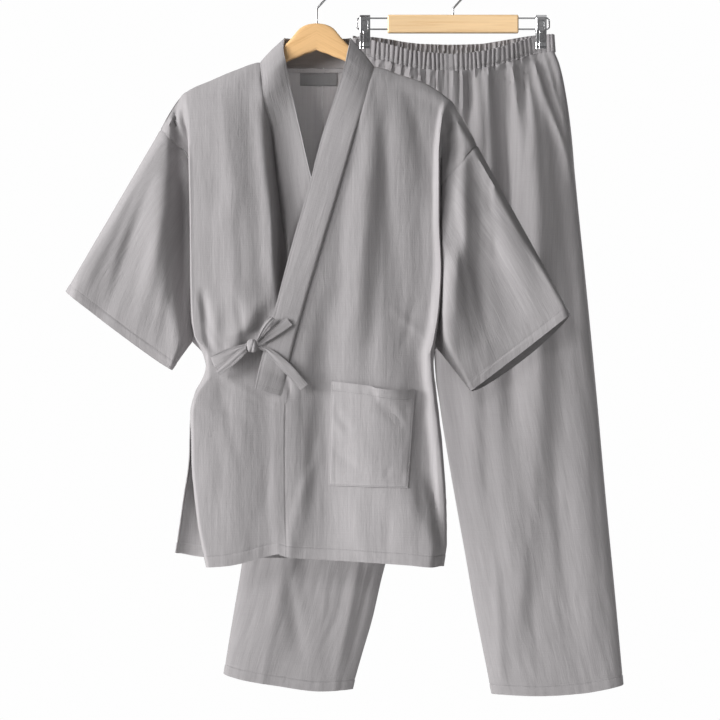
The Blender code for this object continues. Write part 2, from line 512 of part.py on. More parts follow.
def leg_panel(side, face, rows=None, across=None):
    """Front or back of one leg: rows from the waistband to the hem, columns from the centre seam or inseam outward."""
    v = leg_rows() if rows is None else rows
    u = leg_shares(LEG_COLUMNS[face]) if across is None else across
    end_x = WAIST["left"] if side == LEFT else WAIST["right"]
    start_x = read(CENTRE_SEAM, "x", 104)
    top_x = mix(start_x, end_x, u)
    top_drop, top_y = waist_ring(face, top_x)
    top_drop = top_drop + WAIST["band"] + SEAM
    top = stack(top_x + (top_x - 208) * 0.012, top_drop, top_y)
    inner, outer = INSEAM[side], OUTSEAM[side]
    above = v < CROTCH
    upper = mix(top_drop[0], inner["drop"][0], np.clip(v / CROTCH, 0, 1))
    lower = mix(inner["drop"][0], inner["drop"][-1], np.clip((v - CROTCH) / (1 - CROTCH), 0, 1))
    first_drop = np.where(above, upper, lower)
    first_x = np.where(above, read(CENTRE_SEAM, "x", upper), read(inner, "x", lower)) + side * SEAM * 0.8
    last_drop = mix(top_drop[-1], outer["drop"][-1], v)
    last_x = read(outer, "x", last_drop)
    first_x[0], last_x[0] = top[0, 0], top[-1, 0]
    hem_x = mix(first_x[-1], last_x[-1], u)
    bottom = stack(hem_x, read(LEG_HEM[side], "drop", hem_x), 0)
    first, last = stack(first_x, first_drop, 0), stack(last_x, last_drop, 0)
    flat_top = top * np.array([1, 0, 1])
    grid = coons(first, last, flat_top, bottom)
    drop = -grid[..., 2]
    below_band = drop - top_drop[None]
    apart = ease((drop[:, :1] - 400) / 160)  # 0 where the legs are one body, 1 where each is a tube
    one_body, tube = np.sqrt(1 - u**2)[None], np.sqrt(np.clip(1 - (2 * u - 1) ** 2, 0, 1))[None]
    full = read(LEG_DEPTH, "half_depth", drop) * mix(one_body, tube, apart)
    plain = mix(read(WAIST_LINE, "half_depth", top_x)[None], full, ease(below_band / 150))
    folds = np.zeros_like(plain)
    for at, reach, width, height in zip(*TOP_FOLDS.values()):
        fade = 1 - ease(v[:, None] / reach)
        folds += height * np.exp(-(((u[None] - at) / width) ** 2)) * fade
    edges = ease(u / 0.05) * ease((1 - u) / 0.05)
    folds = folds * (read(WAIST_LINE, "puff", top_x) * edges)[None]
    if face == FRONT:
        folds += relief(LEG_FOLDS[side], grid[..., 0], drop) * ease(below_band / 60) * edges[None]
    grid[..., 1] = TROUSERS_Y + face * np.maximum(plain + folds, WALL + SEAM)
    grid[:, -1, 1] = TROUSERS_Y + face * SEAM / 2
    grid[v >= CROTCH, 0, 1] = TROUSERS_Y + face * SEAM / 2
    return grid


# ---------------------------------------------------------------- the hangers

HANGER_HALF_THICKNESS = 6.5
HANGER_CLEARANCE = 4.8
HANGER_TOP = table("x drop", (0, 72), (11, 73.4), (23, 78.2), (38.6, 95.5), (49, 106.6), (62, 122), (75, 137))
HANGER_HEIGHT = table("x height", (0, 40), (30, 30), (50, 24), (90, 20), (186, 16))
HANGER_REACH = 186
WIRE = 1.6  # radius of the hooks' wire
HOOK_ROUND = 21
BAR = dict(x=(107, 307), drop=(50.3, 78.3), depth=12, bevel=1.5)
BAR_WIRE = 1.2
BAR_WIRE_DROPS = (55.3, 72.1)
BAR_WIRE_ENDS = (60.7, 353.9)
CLIP_WALL = 1.2
CLIPS = {"right": 72.6, "left": 341.4}


def hanger_sections(count=13, around=12):
    """Sections of the wooden hanger from its right tip to its left one, following the shoulders of the jacket."""
    xs = HANGER_REACH * np.sin(np.linspace(-math.pi / 2, math.pi / 2, 2 * count + 1))
    angles = 2 * math.pi * np.arange(around) / around
    rings = []
    for x in xs:
        side = LEFT if x >= 0 else RIGHT
        shoulder = float(read(SHOULDER[side], "drop", x)) + WALL + HANGER_CLEARANCE
        top = float(read(HANGER_TOP, "drop", abs(x)))
        if abs(x) > 75:
            top = mix(top, shoulder, float(ease((abs(x) - 75) / 20)))
        tall, half = float(read(HANGER_HEIGHT, "height", abs(x))), HANGER_HALF_THICKNESS
        tip = math.sqrt(max(0.08, 1 - (abs(x) / (HANGER_REACH + 1)) ** 16))
        y = half * tip * np.cos(angles)
        z = tall / 2 * np.sin(angles)
        rings.append(np.stack([np.full(around, x), y, z - top - tall / 2], axis=-1))
    return np.array(rings)


def hook_path(x, y, foot_drop, bearing_drop, radius=HOOK_ROUND):
    """A hanger hook: straight stem, a bend out to the side, then most of a circle over the peg."""
    centre = bearing_drop - WIRE + radius
    bend = centre + radius * math.sqrt(2)
    turn = np.radians(np.linspace(-45, 190, 17))
    points = [(x, y, -foot_drop), (x, y, -(mix(foot_drop, bend, 0.7))), (x + 0.4, y, -(bend + 0.6))]
    points += [(x + radius * math.cos(a), y, -centre + radius * math.sin(a)) for a in turn]
    return points


def end_wire_path(end_x, bar_x, y):
    """One end of the clip hanger's wire: out along the top, round the corners and back along the bottom."""
    upper, lower = BAR_WIRE_DROPS
    out = 1 if end_x > bar_x else -1
    corner = 4
    angles = np.radians(np.linspace(90, 0, 4))
    points = [(bar_x, y, -upper), (mix(bar_x, end_x, 0.5), y, -upper)]
    points += [(end_x - out * corner * (1 - math.cos(a)), y, -upper - corner * (1 - math.sin(a))) for a in angles]
    points += [(end_x - out * corner * (1 - math.cos(a)), y, -lower + corner * (1 - math.sin(a)))
               for a in angles[::-1]]
    points += [(mix(bar_x, end_x, 0.5), y, -lower), (bar_x, y, -lower)]
    return points


def clip_plate(face, middle_x):
    """One jaw of a clip: wide apart at the wires, closed on the waistband below, thicker along its two ribs."""
    spring = (BAR_WIRE_DROPS[1] - BAR_WIRE_DROPS[0]) / 2 - BAR_WIRE - SEAM
    jaw = table("drop y", (52, 9.6), (55, spring + 0.5), (73, spring + 0.3), (86, 5), (95, 3.3), (102, 3.2))
    drops = np.array([52, 55, 63, 73, 79, 86, 92, 97, 102.0])
    xs = np.array([-8, -7, -3.2, -2.4, 2.4, 3.2, 7, 8.0])
    ribs = np.array([-0.7, 0, 0, 0.6, 0.6, 0, 0, -0.7])
    x, drop = np.meshgrid(middle_x + xs, drops)
    lifts = np.where((drops > 77)[:, None], ribs[None], np.minimum(ribs, 0)[None])
    return stack(x, drop, TROUSERS_Y + face * (read(jaw, "y", drop) + CLIP_WALL + lifts))


# ---------------------------------------------------------------- meshes

COLOURS = {
    "cloth": ((0.36, 0.345, 0.352), 0.9, 0.0),
    "label_cloth": ((0.07, 0.07, 0.072), 0.8, 0.0),
    "wood": ((0.80, 0.49, 0.22), 0.45, 0.0),
    "pale_wood": ((0.90, 0.63, 0.36), 0.45, 0.0),
    "steel": ((0.55, 0.55, 0.56), 0.3, 1.0),
}


def material(name):
    """A plain material of the named colour, made once."""
    if name in bpy.data.materials:
        return bpy.data.materials[name]
    colour, roughness, metallic = COLOURS[name]
    made = bpy.data.materials.new(name)
    made.use_nodes = True
    shader = made.node_tree.nodes["Principled BSDF"]
    shader.inputs["Base Color"].default_value = (*colour, 1)
    shader.inputs["Roughness"].default_value = roughness
    shader.inputs["Metallic"].default_value = metallic
    return made


def normals_of(grid, wrap):
    """Unit normals of a grid of points."""
    if wrap:
        over = np.roll(grid, -1, axis=1) - np.roll(grid, 1, axis=1)
    else:
        over = np.gradient(grid, axis=1)
    normal = np.cross(np.gradient(grid, axis=0), over)
    return normal / np.linalg.norm(normal, axis=-1, keepdims=True)


def facing_out(vertices, faces):
    """The faces of a closed mesh, turned over if together they look inwards."""
    volume = 0.0
    for face in faces:
        corners = vertices[list(face)]
        for i in range(1, len(face) - 1):
            volume += float(np.dot(corners[0], np.cross(corners[i], corners[i + 1])))
    return faces if volume > 0 else [face[::-1] for face in faces]


def add_object(name, vertices, faces, colour):
    vertices = np.asarray(vertices, float)
    faces = facing_out(vertices, [tuple(face) for face in faces])
    mesh = bpy.data.meshes.new(name)
    mesh.from_pydata([tuple(v) for v in vertices * MM], [], faces)
    mesh.materials.append(material(colour))
    mesh.shade_smooth()
    mesh.set_sharp_from_angle(angle=math.radians(50))
    obj = bpy.data.objects.new(name, mesh)
    bpy.context.scene.collection.objects.link(obj)
    return obj


def wall(name, grid, thickness, inward, wrap=False, kept=None, limit=None, colour="cloth"):
    """A closed wall whose outer face is the grid and whose inner face lies a thickness further in.

    inward is a point on the side that the inner face is on; a tube's inner face is towards its own middle. kept
    gives, for a border out of top, bottom, first and last, the axes that its normals keep, so that two pieces that
    meet edge to edge there stay apart. limit is a face (FRONT or BACK) and the y that its wall never crosses.
    """
    normal = normals_of(grid, wrap)
    if wrap:
        to_inside = grid.mean(axis=1, keepdims=True) - grid
    else:
        to_inside = np.array([inward[0], inward[1], -inward[2]], float) - grid
    if (normal * to_inside).sum() < 0:
        normal = -normal
    borders = {"top": np.s_[0], "bottom": np.s_[-1], "first": np.s_[:, 0], "last": np.s_[:, -1]}
    for border, axes in (kept or {}).items():
        flat = normal[borders[border]] * axes
        normal[borders[border]] = flat / np.maximum(np.linalg.norm(flat, axis=-1, keepdims=True), 1e-6)
    inner = grid + normal * thickness
    if wrap:
        side = np.sign(grid[..., 1])
        inner[..., 1] = side * np.maximum(side * inner[..., 1], SEAM / 2)
    if limit:
        face, plane = limit
        inner[..., 1] = face * np.maximum(face * (inner[..., 1] - plane), SEAM / 2) + plane
    rows, columns = grid.shape[:2]
    count = rows * columns
    index = np.arange(count).reshape(rows, columns)
    rims = []
    if wrap:
        index = np.concatenate([index, index[:, :1]], axis=1)
    else:
        rims = [index[:, 0][::-1], index[:, -1]]
    a, b, c, d = index[:-1, :-1], index[:-1, 1:], index[1:, 1:], index[1:, :-1]
    faces = []
    for triangle in ((a, b, c), (a, c, d)):  # both faces are split along the same diagonal, so they can't cross
        outer = np.stack(triangle, axis=-1).reshape(-1, 3)
        faces += outer.tolist() + (outer[:, ::-1] + count).tolist()
    for rim in rims + [index[0], index[-1][::-1]]:
        faces += np.stack([rim[1:], rim[:-1], rim[:-1] + count, rim[1:] + count], axis=-1).tolist()
    vertices = np.concatenate([grid.reshape(-1, 3), inner.reshape(-1, 3)])
    return add_object(name, vertices, faces, colour)


def solid_of_rings(name, rings, colour):
    """A closed solid through rings of points, with flat ends."""
    count, around = rings.shape[:2]
    index = np.arange(count * around).reshape(count, around)
    index = np.concatenate([index, index[:, :1]], axis=1)
    a, b, c, d = index[:-1, :-1], index[:-1, 1:], index[1:, 1:], index[1:, :-1]
    faces = np.stack([a, d, c, b], axis=-1).reshape(-1, 4).tolist()
    faces += [index[0, :-1].tolist(), index[-1, :-1][::-1].tolist()]
    return add_object(name, rings.reshape(-1, 3), faces, colour)


def wire(name, points, radius, colour="steel"):
    """A round wire through the points, with flat ends."""
    curve = bpy.data.curves.new(name, "CURVE")
    curve.dimensions = "3D"
    curve.bevel_depth = radius * MM
    curve.bevel_resolution = 1
    curve.use_fill_caps = True
    spline = curve.splines.new("POLY")
    spline.points.add(len(points) - 1)
    for point, place in zip(spline.points, points):
        point.co = (*(c * MM for c in place), 1)
    curve.materials.append(material(colour))
    obj = bpy.data.objects.new(name, curve)
    bpy.context.scene.collection.objects.link(obj)
    return obj


def box(name, x, y, drop, bevel, colour):
    """A block with bevelled edges between two x, two y and two drops."""
    corners = [(a, b, -c) for a in x for b in y for c in drop]
    faces = [(0, 1, 3, 2), (4, 6, 7, 5), (0, 4, 5, 1), (2, 3, 7, 6), (0, 2, 6, 4), (1, 5, 7, 3)]
    made = add_object(name, corners, [f[::-1] for f in faces], colour)
    edge = made.modifiers.new("Bevel", "BEVEL")
    edge.width, edge.segments = bevel * MM, 1
    return made


# ---------------------------------------------------------------- the model

INSIDE_JACKET = (0, 0, 500)
INSIDE_TROUSERS = (190, TROUSERS_Y, 500)
IN_PLANE, NO_X = np.array([1, 0, 1.0]), np.array([0, 1, 1.0])


def make_jacket():
    for side, name in ((RIGHT, "right"), (LEFT, "left")):
        edges = dict(top=IN_PLANE, last=IN_PLANE)
        wall(f"front_{name}", front_panel(side), WALL, INSIDE_JACKET, kept=edges, limit=(FRONT, 0))
        wall(f"back_{name}", back_panel(side), WALL, INSIDE_JACKET, kept=dict(edges, first=NO_X), limit=(BACK, 0))
        wall(f"sleeve_{name}", sleeve(side), WALL, None, wrap=True)
    wall("collar", collar(), DOUBLE, (0, 0, 300))
    wall("pocket", pocket_panel(), WALL, INSIDE_JACKET)
    wall("neck_tape", lining_strip(TAPE, 0.8, 1, 12), TAPE["wall"], (0, -500, 140))
    wall("neck_label", lining_strip(LABEL, 0.6, 2, 6), LABEL["wall"], (0, -500, 160), colour="label_cloth")


def make_bow():
    for name, rows in BOW.items():
        middle = [rows[axis].mean() for axis in ("x", "y", "drop")] if "loop" in name else (-100, 0, 560)
        wall(name, ribbon(rows), RIBBON_WALL, middle)
    k = KNOT
    turn = np.radians(np.arange(8) * 45)
    rings = []
    for share, size in ((-0.5, 0.8), (-0.2, 1), (0.2, 1), (0.5, 0.8)):
        ring = [(k["x"] + share * k["width"], k["y"] + k["depth"] / 2 * size * math.cos(a),
                 -k["drop"] + k["height"] / 2 * size * math.sin(a)) for a in turn]
        rings.append(ring)
    solid_of_rings("tie_knot", np.array(rings), "cloth")


def make_trousers():
    for face, name in ((FRONT, "front"), (BACK, "back")):
        edges = dict(first=IN_PLANE, last=IN_PLANE)
        wall(f"waistband_{name}", waistband(face), WALL, INSIDE_TROUSERS, kept=edges, limit=(face, TROUSERS_Y))
        for side, hand in ((RIGHT, "right"), (LEFT, "left")):
            inner_edge = np.where((leg_rows() < CROTCH)[:, None], NO_X, IN_PLANE)
            edges = dict(first=inner_edge, last=IN_PLANE)
            wall(f"leg_{hand}_{name}", leg_panel(side, face), WALL, INSIDE_TROUSERS, kept=edges, limit=(face, TROUSERS_Y))


def make_hangers():
    solid_of_rings("hanger_wood", hanger_sections(), "wood")
    wire("hanger_hook", hook_path(0, 0, 72 - SEAM, 0), WIRE)
    lo, hi = BAR["x"]
    depth = (TROUSERS_Y - BAR["depth"] / 2, TROUSERS_Y + BAR["depth"] / 2)
    box("clip_hanger_bar", (lo, hi), depth, BAR["drop"], BAR["bevel"], "pale_wood")
    wire("clip_hanger_hook", hook_path((lo + hi) / 2, TROUSERS_Y, BAR["drop"][0] - SEAM, 0, 17), WIRE)
    for name, end, side in (("right", BAR_WIRE_ENDS[0], lo - SEAM), ("left", BAR_WIRE_ENDS[1], hi + SEAM)):
        wire(f"clip_hanger_wire_{name}", end_wire_path(end, side, TROUSERS_Y), BAR_WIRE)
    spring = (BAR_WIRE_DROPS[1] - BAR_WIRE_DROPS[0]) / 2 - BAR_WIRE - SEAM
    middle = sum(BAR_WIRE_DROPS) / 2
    turn = np.radians(np.arange(12) * 30)
    for name, x in CLIPS.items():
        rings = [[(x + dx, TROUSERS_Y + spring * math.cos(a), -middle + spring * math.sin(a)) for a in turn]
                 for dx in (-5.5, 5.5)]
        solid_of_rings(f"clip_{name}_spring", np.array(rings), "steel")
        for face, hand in ((FRONT, "front"), (BACK, "back")):
            wall(f"clip_{name}_{hand}", clip_plate(face, x), CLIP_WALL, (x, TROUSERS_Y, 80), colour="steel")


def main():
    for obj in list(bpy.data.objects):
        bpy.data.objects.remove(obj)
    make_jacket()
    make_bow()
    make_trousers()
    make_hangers()


main()
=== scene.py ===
"""The looks of a hung two-piece summer suit: a wrap jacket on a wooden hanger, and its trousers on a clip hanger.

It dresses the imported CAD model. The first half repeats the garments' cut from the part's own source, in millimetres:
x runs to the viewer's right, y away from the viewer, and a drop is how far something lies below the origin, where the
jacket hanger's hook bears on its rail. "left" and "right" are the wearer's. The second half lays fine cloth, stitches
and finishes on that cut, and makes metres of it where meshes are built.
"""
import json
import math

import bpy
import numpy as np
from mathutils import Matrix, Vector

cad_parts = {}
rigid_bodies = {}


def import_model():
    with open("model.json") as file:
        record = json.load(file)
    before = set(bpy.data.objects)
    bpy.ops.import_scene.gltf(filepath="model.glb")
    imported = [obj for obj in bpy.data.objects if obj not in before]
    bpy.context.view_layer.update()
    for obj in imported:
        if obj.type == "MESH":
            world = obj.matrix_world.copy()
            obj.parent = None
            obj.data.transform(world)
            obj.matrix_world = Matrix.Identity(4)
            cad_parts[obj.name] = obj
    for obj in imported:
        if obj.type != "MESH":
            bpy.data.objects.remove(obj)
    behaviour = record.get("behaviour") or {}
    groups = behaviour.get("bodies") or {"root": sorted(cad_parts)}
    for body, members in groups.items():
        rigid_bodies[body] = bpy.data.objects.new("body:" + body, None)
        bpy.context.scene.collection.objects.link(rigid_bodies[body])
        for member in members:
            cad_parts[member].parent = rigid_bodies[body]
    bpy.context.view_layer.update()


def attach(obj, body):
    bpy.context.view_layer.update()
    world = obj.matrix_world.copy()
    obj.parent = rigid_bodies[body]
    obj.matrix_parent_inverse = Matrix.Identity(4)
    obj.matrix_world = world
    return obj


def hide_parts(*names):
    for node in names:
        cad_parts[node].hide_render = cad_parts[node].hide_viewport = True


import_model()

MM = 0.001  # the one scale between the cut, in millimetres, and the scene
SEAM = 0.06  # between two pieces that are sewn together
WALL = 1.2  # one layer of cloth, as thick as its solid
DOUBLE = 2.2  # a folded band: the collar
LEFT, RIGHT = 1, -1
FRONT, BACK = -1, 1
SIDES = {RIGHT: "right", LEFT: "left"}
FACES = {FRONT: "front", BACK: "back"}


def table(columns, rows):
    """Rows of numbers, parted by commas, under named columns. The other columns are read by the first one."""
    values = np.array([row.split() for row in rows.split(",")], float)
    return dict(zip(columns.split(), values.T))


def read(rows, column, at):
    """A column at places between its rows, on a smooth curve that never overshoots them."""
    knots, values = next(iter(rows.values())), rows[column]
    at = np.clip(np.asarray(at, float), knots[0], knots[-1])
    step, slope = np.diff(knots), np.diff(values) / np.diff(knots)
    tangent = np.concatenate([slope[:1], np.zeros(len(knots) - 2), slope[-1:]])
    for i in np.flatnonzero(slope[:-1] * slope[1:] > 0):
        before, after = 2 * step[i + 1] + step[i], step[i + 1] + 2 * step[i]
        tangent[i + 1] = (before + after) / (before / slope[i] + after / slope[i + 1])
    i = np.clip(np.searchsorted(knots, at, side="right") - 1, 0, len(knots) - 2)
    t = (at - knots[i]) / step[i]
    return (
        values[i] * (1 + 2 * t) * (1 - t) ** 2
        + values[i + 1] * t * t * (3 - 2 * t)
        + step[i] * t * (1 - t) * (tangent[i] * (1 - t) - tangent[i + 1] * t)
    )


def mix(a, b, share):
    return a + (b - a) * share


def ease(share):
    """0 to 1 along a smooth step."""
    share = np.clip(share, 0, 1)
    return share * share * (3 - 2 * share)


def rise(value, start, length):
    """0 up to the start, 1 from a length further on."""
    return ease((value - start) / length)


def fall(value, start, length):
    """1 up to the start, 0 from a length further on."""
    return 1 - ease((value - start) / length)


def bell(off, width):
    """1 on a line, fading away on both sides of it."""
    return np.exp(-((off / width) ** 2))


def quarter_round(share):
    """0 to 1 along a quarter of a circle, upright where it starts."""
    return np.sqrt(1 - (1 - np.clip(share, 0, 1)) ** 2)


def stack(x, drop, y):
    return np.stack(np.broadcast_arrays(x, y, -np.asarray(drop, float)), axis=-1)


# ---------------------------------------------------------------- the jacket's cut

UNDERARM = 0.48  # share of the way from shoulder to hem, at the armhole seam
ROW_GROWTH = 1.45  # how much closer the rows are at the shoulder
SHOULDER_ROUND = 85  # drop over which the cloth comes forward from the shoulder
LAYERS_APART = 8  # the left front lies this far in front of the right one
SHOULDER = {
    RIGHT: table("x drop", "-234 231, -210 193, -195 175, -159 158, -121 142, -85 131, 0 131"),
    LEFT: table("x drop", "0 137, 86 137, 125 149, 161 161, 180 172, 197 185, 218 214, 240 254"),
}
NECK_X = {RIGHT: -85, LEFT: 86}
TIP_X = {RIGHT: -195, LEFT: 197}
BACK_SEAM = table("drop x", "138 10, 500 5, 875 0")
# The edge that a front is cut to: the collar's seam from the neck down, then the plain front edge.
FRONT_EDGE = {
    RIGHT: table("drop x", """131.1 -85, 187 -78.3, 237.3 -67.1, 322 -57, 398.6 -47, 487.8 -31.1, 565.1 -17.2,
        621.6 8.5, 649.3 52.1, 698.9 57.1, 859.5 57.1"""),
    LEFT: table("drop x", """137.5 86, 212.2 66, 302.1 40.2, 398.6 11.5, 487.8 -15.3, 577 -39, 621.6 -49,
        643.4 -56.9, 716.7 -57.9, 817.9 -56.9, 867.5 -54.9"""),
}
# The upright fold where each side of the body turns back towards its armhole.
FOLD_LINE = {
    RIGHT: table("drop x", """175 -195, 230 -190, 337 -187, 487 -185, 538 -181, 572 -160, 598 -158, 629 -176,
        657 -182, 720 -181, 817 -172, 886 -158"""),
    LEFT: table("drop x", """185 197, 212 188, 279 182, 367 182, 438 185, 495 182, 553 173, 570 169, 593 170,
        669 178, 727 184, 802 189, 850 189, 884 184"""),
}
# The armhole seam, and below the underarm the side seam and the slit's edges.
ARMHOLE = {
    RIGHT: table("drop x y", """231 -234 0, 249 -215 4, 269 -195 8, 300 -187 9, 400 -185 10, 500 -186 7,
        549 -186 0"""),
    LEFT: table("drop x y", "254 240 0, 283 214 4, 312 188 8, 340 181 9, 420 180 10, 510 180 7, 558 179 0"),
}
SIDE = {
    (RIGHT, FRONT): table("drop x y", """549 -186 0, 572 -167 0, 598 -165 0, 629 -183 0, 657 -189 0, 721 -188 7,
        817 -179 11, 887 -165 13"""),
    (LEFT, FRONT): table("drop x y", """558 179 0, 570 175 0, 593 175.5 0, 637 180 0, 669 183.3 0, 727 189.5 7,
        802 194.5 11, 850 194.5 13, 885 190 13"""),
    (RIGHT, BACK): table("drop x y", """549 -186 0, 572 -167 0, 598 -165 0, 629 -183 0, 657 -189 0, 721 -191 5,
        790 -201 7, 867 -212 8"""),
    (LEFT, BACK): table("drop x y", """558 179 0, 570 175 0, 593 175.5 0, 637 180 0, 669 183.3 0, 727 186 5,
        802 186 7, 850 186 8, 878 185 8"""),
}
HEM = {
    (RIGHT, FRONT): table("x drop", """-163.1 884.4, -133.3 882.4, -110.5 878.4, -75.8 869.5, -56 865.5,
        57.1 859.6"""),
    (LEFT, FRONT): table("x drop", """-55 867.5, -39.1 871.5, -5.4 873.5, 52.1 876.4, 137.4 881.4, 174.1 884.4,
        188.9 882.4"""),
    (RIGHT, BACK): table("x drop", "-212 867, -169 874, 0 876"),
    (LEFT, BACK): table("x drop", "0 876, 185 878"),
}
# How far the body stands out in front of the shoulder line, and behind it.
BODY_DEPTH = table("drop front back", "130 24 32, 250 36 33, 400 41 31, 600 42 29, 880 40 27")
SIDE_FLATTENING = 0.22
ARMHOLE_DEPTH = 0.35  # the armhole's seam lies deep between body and sleeve
TURN_REACH = 22  # how roundly the cloth leaves the upright fold for the armhole
SHARP_TURN_END = 540  # drop at the underarm, above which the cloth turns there more sharply
FOLDS_START = 60  # length below the shoulder over which its folds grow to their full depth
BOW_PULL = 470  # drop from which the bow pulls at the cloth
# The back of the collar: its seam and its upper edge, from the right side of the neck round to the left.
BACK_NECK = table("x drop y edge_x edge_drop edge_y", """-85 131 0 -48 94 2, -79 133 12 -46 93.6 12,
    -60 135 23 -36 93 21, -30 136 29.5 -18 92.2 26.5, 5 136.3 31 2 92 28, 34 136.2 29.5 20 92.2 26.5,
    62 136.2 23 37 93 21, 80 136.6 12 48 93.6 12, 86 137 0 51 94 2""")
# The collar's free edge, read by the drop of the seam opposite.
COLLAR_EDGE = {
    RIGHT: table("seam_drop x drop y", """131.1 -48.1 94 2, 146 -49.7 110.1 -11, 166.6 -45.5 132.9 -19,
        192 -40.4 162.2 -24, 237.3 -28.4 214.4 -30, 322 -7.4 305.1 -34, 398.6 11.4 381.5 -34,
        487.8 33.2 470.8 -34, 565.1 53.1 550.2 -34, 621.6 68 609.8 -34"""),
    LEFT: table("seam_drop x drop y", """137.5 51 94 2, 151.3 47 114.2 -12, 169.7 43.1 133.1 -21,
        192 35.2 159.5 -27, 217.2 25.3 190.8 -32, 262.3 6.5 249.7 -37, 332 -11.3 319.4 -41, 421.4 -37 408.7 -44,
        520.5 -62.7 506.7 -46, 589.9 -81.5 576 -47, 631.5 -91.3 621.5 -48"""),
}
COLLAR_NECK = 190  # drop above which the collar bends round the neck
COLLAR_END = {RIGHT: 622, LEFT: 632}
RIGHT_EDGE_IN = 12  # how far the right side's collar leans in at its free edge

# Cuffs: the fold at the top of the sleeve and the corner at its underarm seam.
CUFF = {
    RIGHT: dict(top=(-376, 474), bottom=(-217, 592), depth=8, back_longer=2, bowed=1.5),
    LEFT: dict(top=(380, 507), bottom=(231, 623), depth=9, back_longer=11, bowed=1),
}
SLEEVE_FULLNESS = 9.1

# Soft ridges (height over 0) and troughs (under 0) that run straight from one point to another.
FOLDS = "x drop to_x to_drop width height"
FRONT_FOLDS = {
    RIGHT: table(FOLDS, """-72 185 -34 480 11 -15, -112 165 -92 560 26 5, -140 300 -150 600 16 -4,
        -150 600 -60 470 20 6, -150 640 -110 880 15 5, -120 600 -90 860 13 -4"""),
    LEFT: table(FOLDS, """96 150 60 560 20 6, 108 160 74 640 14 -4, 120 155 140 560 18 2.5, 20 470 0 800 20 -5,
        -25 640 -20 860 13 4, 160 560 178 830 13 -5"""),
}
BACK_FOLDS = table(FOLDS, """-110 180 -90 800 22 6, -140 260 -125 860 15 -5, -45 170 -55 840 26 5,
    115 180 95 800 22 6, 145 260 130 860 15 -5, 50 170 60 840 26 5""")
SLEEVE_FOLDS = {
    RIGHT: table(FOLDS, "-205 255 -225 560 13 -7, -240 250 -330 500 20 4, -215 300 -270 540 14 4"),
    LEFT: table(FOLDS, "222 300 250 560 13 -7, 214 300 208 520 11 5, 240 290 330 520 17 5"),
}


def broad_folds(*lines):
    """Broad folds, each a line down the cloth: where it lies at each drop, how far it stands out (or in, under 0) and
    how wide it is on its left and right. A narrow side is a steep one.
    """
    return [table("drop x height left right", line) for line in lines]


FRONT_LINES = {
    RIGHT: broad_folds(
        # the chest's flat falls away towards the collar
        """160 -144 0 60 16, 200 -142 4 60 16, 262 -138 5 60 18, 367 -130 5 60 22, 430 -120 4 50 20,
           490 -108 3 40 18, 530 -100 0 40 16""",
        # the ridge and the deep hollow beside the collar
        "142 -88 0 14 5, 190 -79 5 14 4, 280 -71 8 15 4, 370 -66 8 16 4, 430 -65 7 16 5, 490 -62 0 14 6",
        "320 -140 0 14 14, 382 -143 2.8 14 14, 500 -148 2.8 14 14, 580 -150 0 14 14",
        "320 -112 0 12 12, 382 -116 -2.6 12 12, 440 -112 -2.6 12 12, 490 -110 0 12 12",
        """165 -75 0 5 5, 230 -67 -6 5 6, 307 -60 -12 6 9, 367 -53 -15 7 10, 427 -51 -14 7 12, 480 -48 -8 8 12,
           510 -48 0 8 9""",
        # the fold over the armhole keeps its height
        "250 -192 0 8 3, 290 -190 1.2 9 4, 390 -188 1.2 9 4, 500 -187 0.5 9 4, 540 -186 0 9 4",
        # pulled in at the bow
        "490 -72 0 12 12, 525 -84 -6 12 14, 550 -102 -6 14 14, 580 -118 0 14 14",
        "465 -170 0 5 6, 505 -167 -4 5 7, 545 -163 -4 5 7, 565 -158 0 5 7",
        "480 -150 0 12 12, 530 -148 3 12 10, 560 -140 0 12 10",
        # below it
        """560 -118 0 16 30, 600 -128 -3 18 24, 640 -138 -4 15 18, 697 -140 -4.6 15 17, 757 -130 -5 15 16,
           817 -120 -3.4 15 15, 880 -110 -1 15 15""",
        "600 -120 1 13 13, 697 -109 3.6 13 13, 757 -102 3.8 13 13, 817 -95 2.1 13 13, 860 -90 0 13 13",
        "590 -60 0 34 30, 640 -54 -3 40 30, 757 -52 -4 44 30, 850 -50 -4 44 30, 885 -50 -3 44 30",
    ),
    LEFT: broad_folds(
        # the long fold from the shoulder: everything beyond it lies deeper
        """150 90 0 8 400, 200 95 -3 12 400, 262 102 -5 15 400, 320 109 -8 20 400, 367 115 -9 24 400,
           427 127 -11 35 400, 487 139 -13 47 400, 547 149 -10 46 400, 600 150 -5 44 400, 640 150 0 44 400""",
        "200 90 0 20 8, 300 92 1.2 24 12, 420 86 2.5 28 20, 520 84 0 30 20",
        "160 132 0 10 60, 190 142 -3 14 60, 262 165 -6 19 60, 322 176 -4 18 60, 365 184 0 18 60",
        # a hollow beside the collar
        """240 64 0 10 90, 300 56 -1.5 14 90, 367 50 -2.5 18 90, 427 40 -3.5 20 90, 487 30 -5 25 90,
           547 22 -5 28 90, 620 18 0 30 90""",
        # the skirt: hollow from the edge to the pocket, then beyond the pocket
        """540 24 0 34 60, 607 20 -8 44 60, 700 16 -14 54 50, 780 14 -13 54 50, 850 12 -9 50 50,
           885 12 -4 50 50""",
        """530 150 0 30 10, 600 160 -7 34 9, 712 170 -12 36 9, 780 174 -9 24 8, 830 180 -5 12 6,
           865 186 0 10 5""",
        "740 150 0 80 10, 800 168 11 90 8, 850 176 16 100 8, 885 180 17 100 8",
        "290 62 0 12 16, 330 57 2.5 12 16, 380 50 3 12 16, 430 44 2 12 16, 480 38 0 12 16",
        "685 6 0 6 7, 712 2 1.5 6 8, 787 -25 2 8 10, 855 -40 2 8 10, 880 -43 1 8 10",
        "592 -46 0 4 4, 606 -43 -3 4 4, 622 -40 -2 4 4, 640 -38 0 4 4",
    ),
}
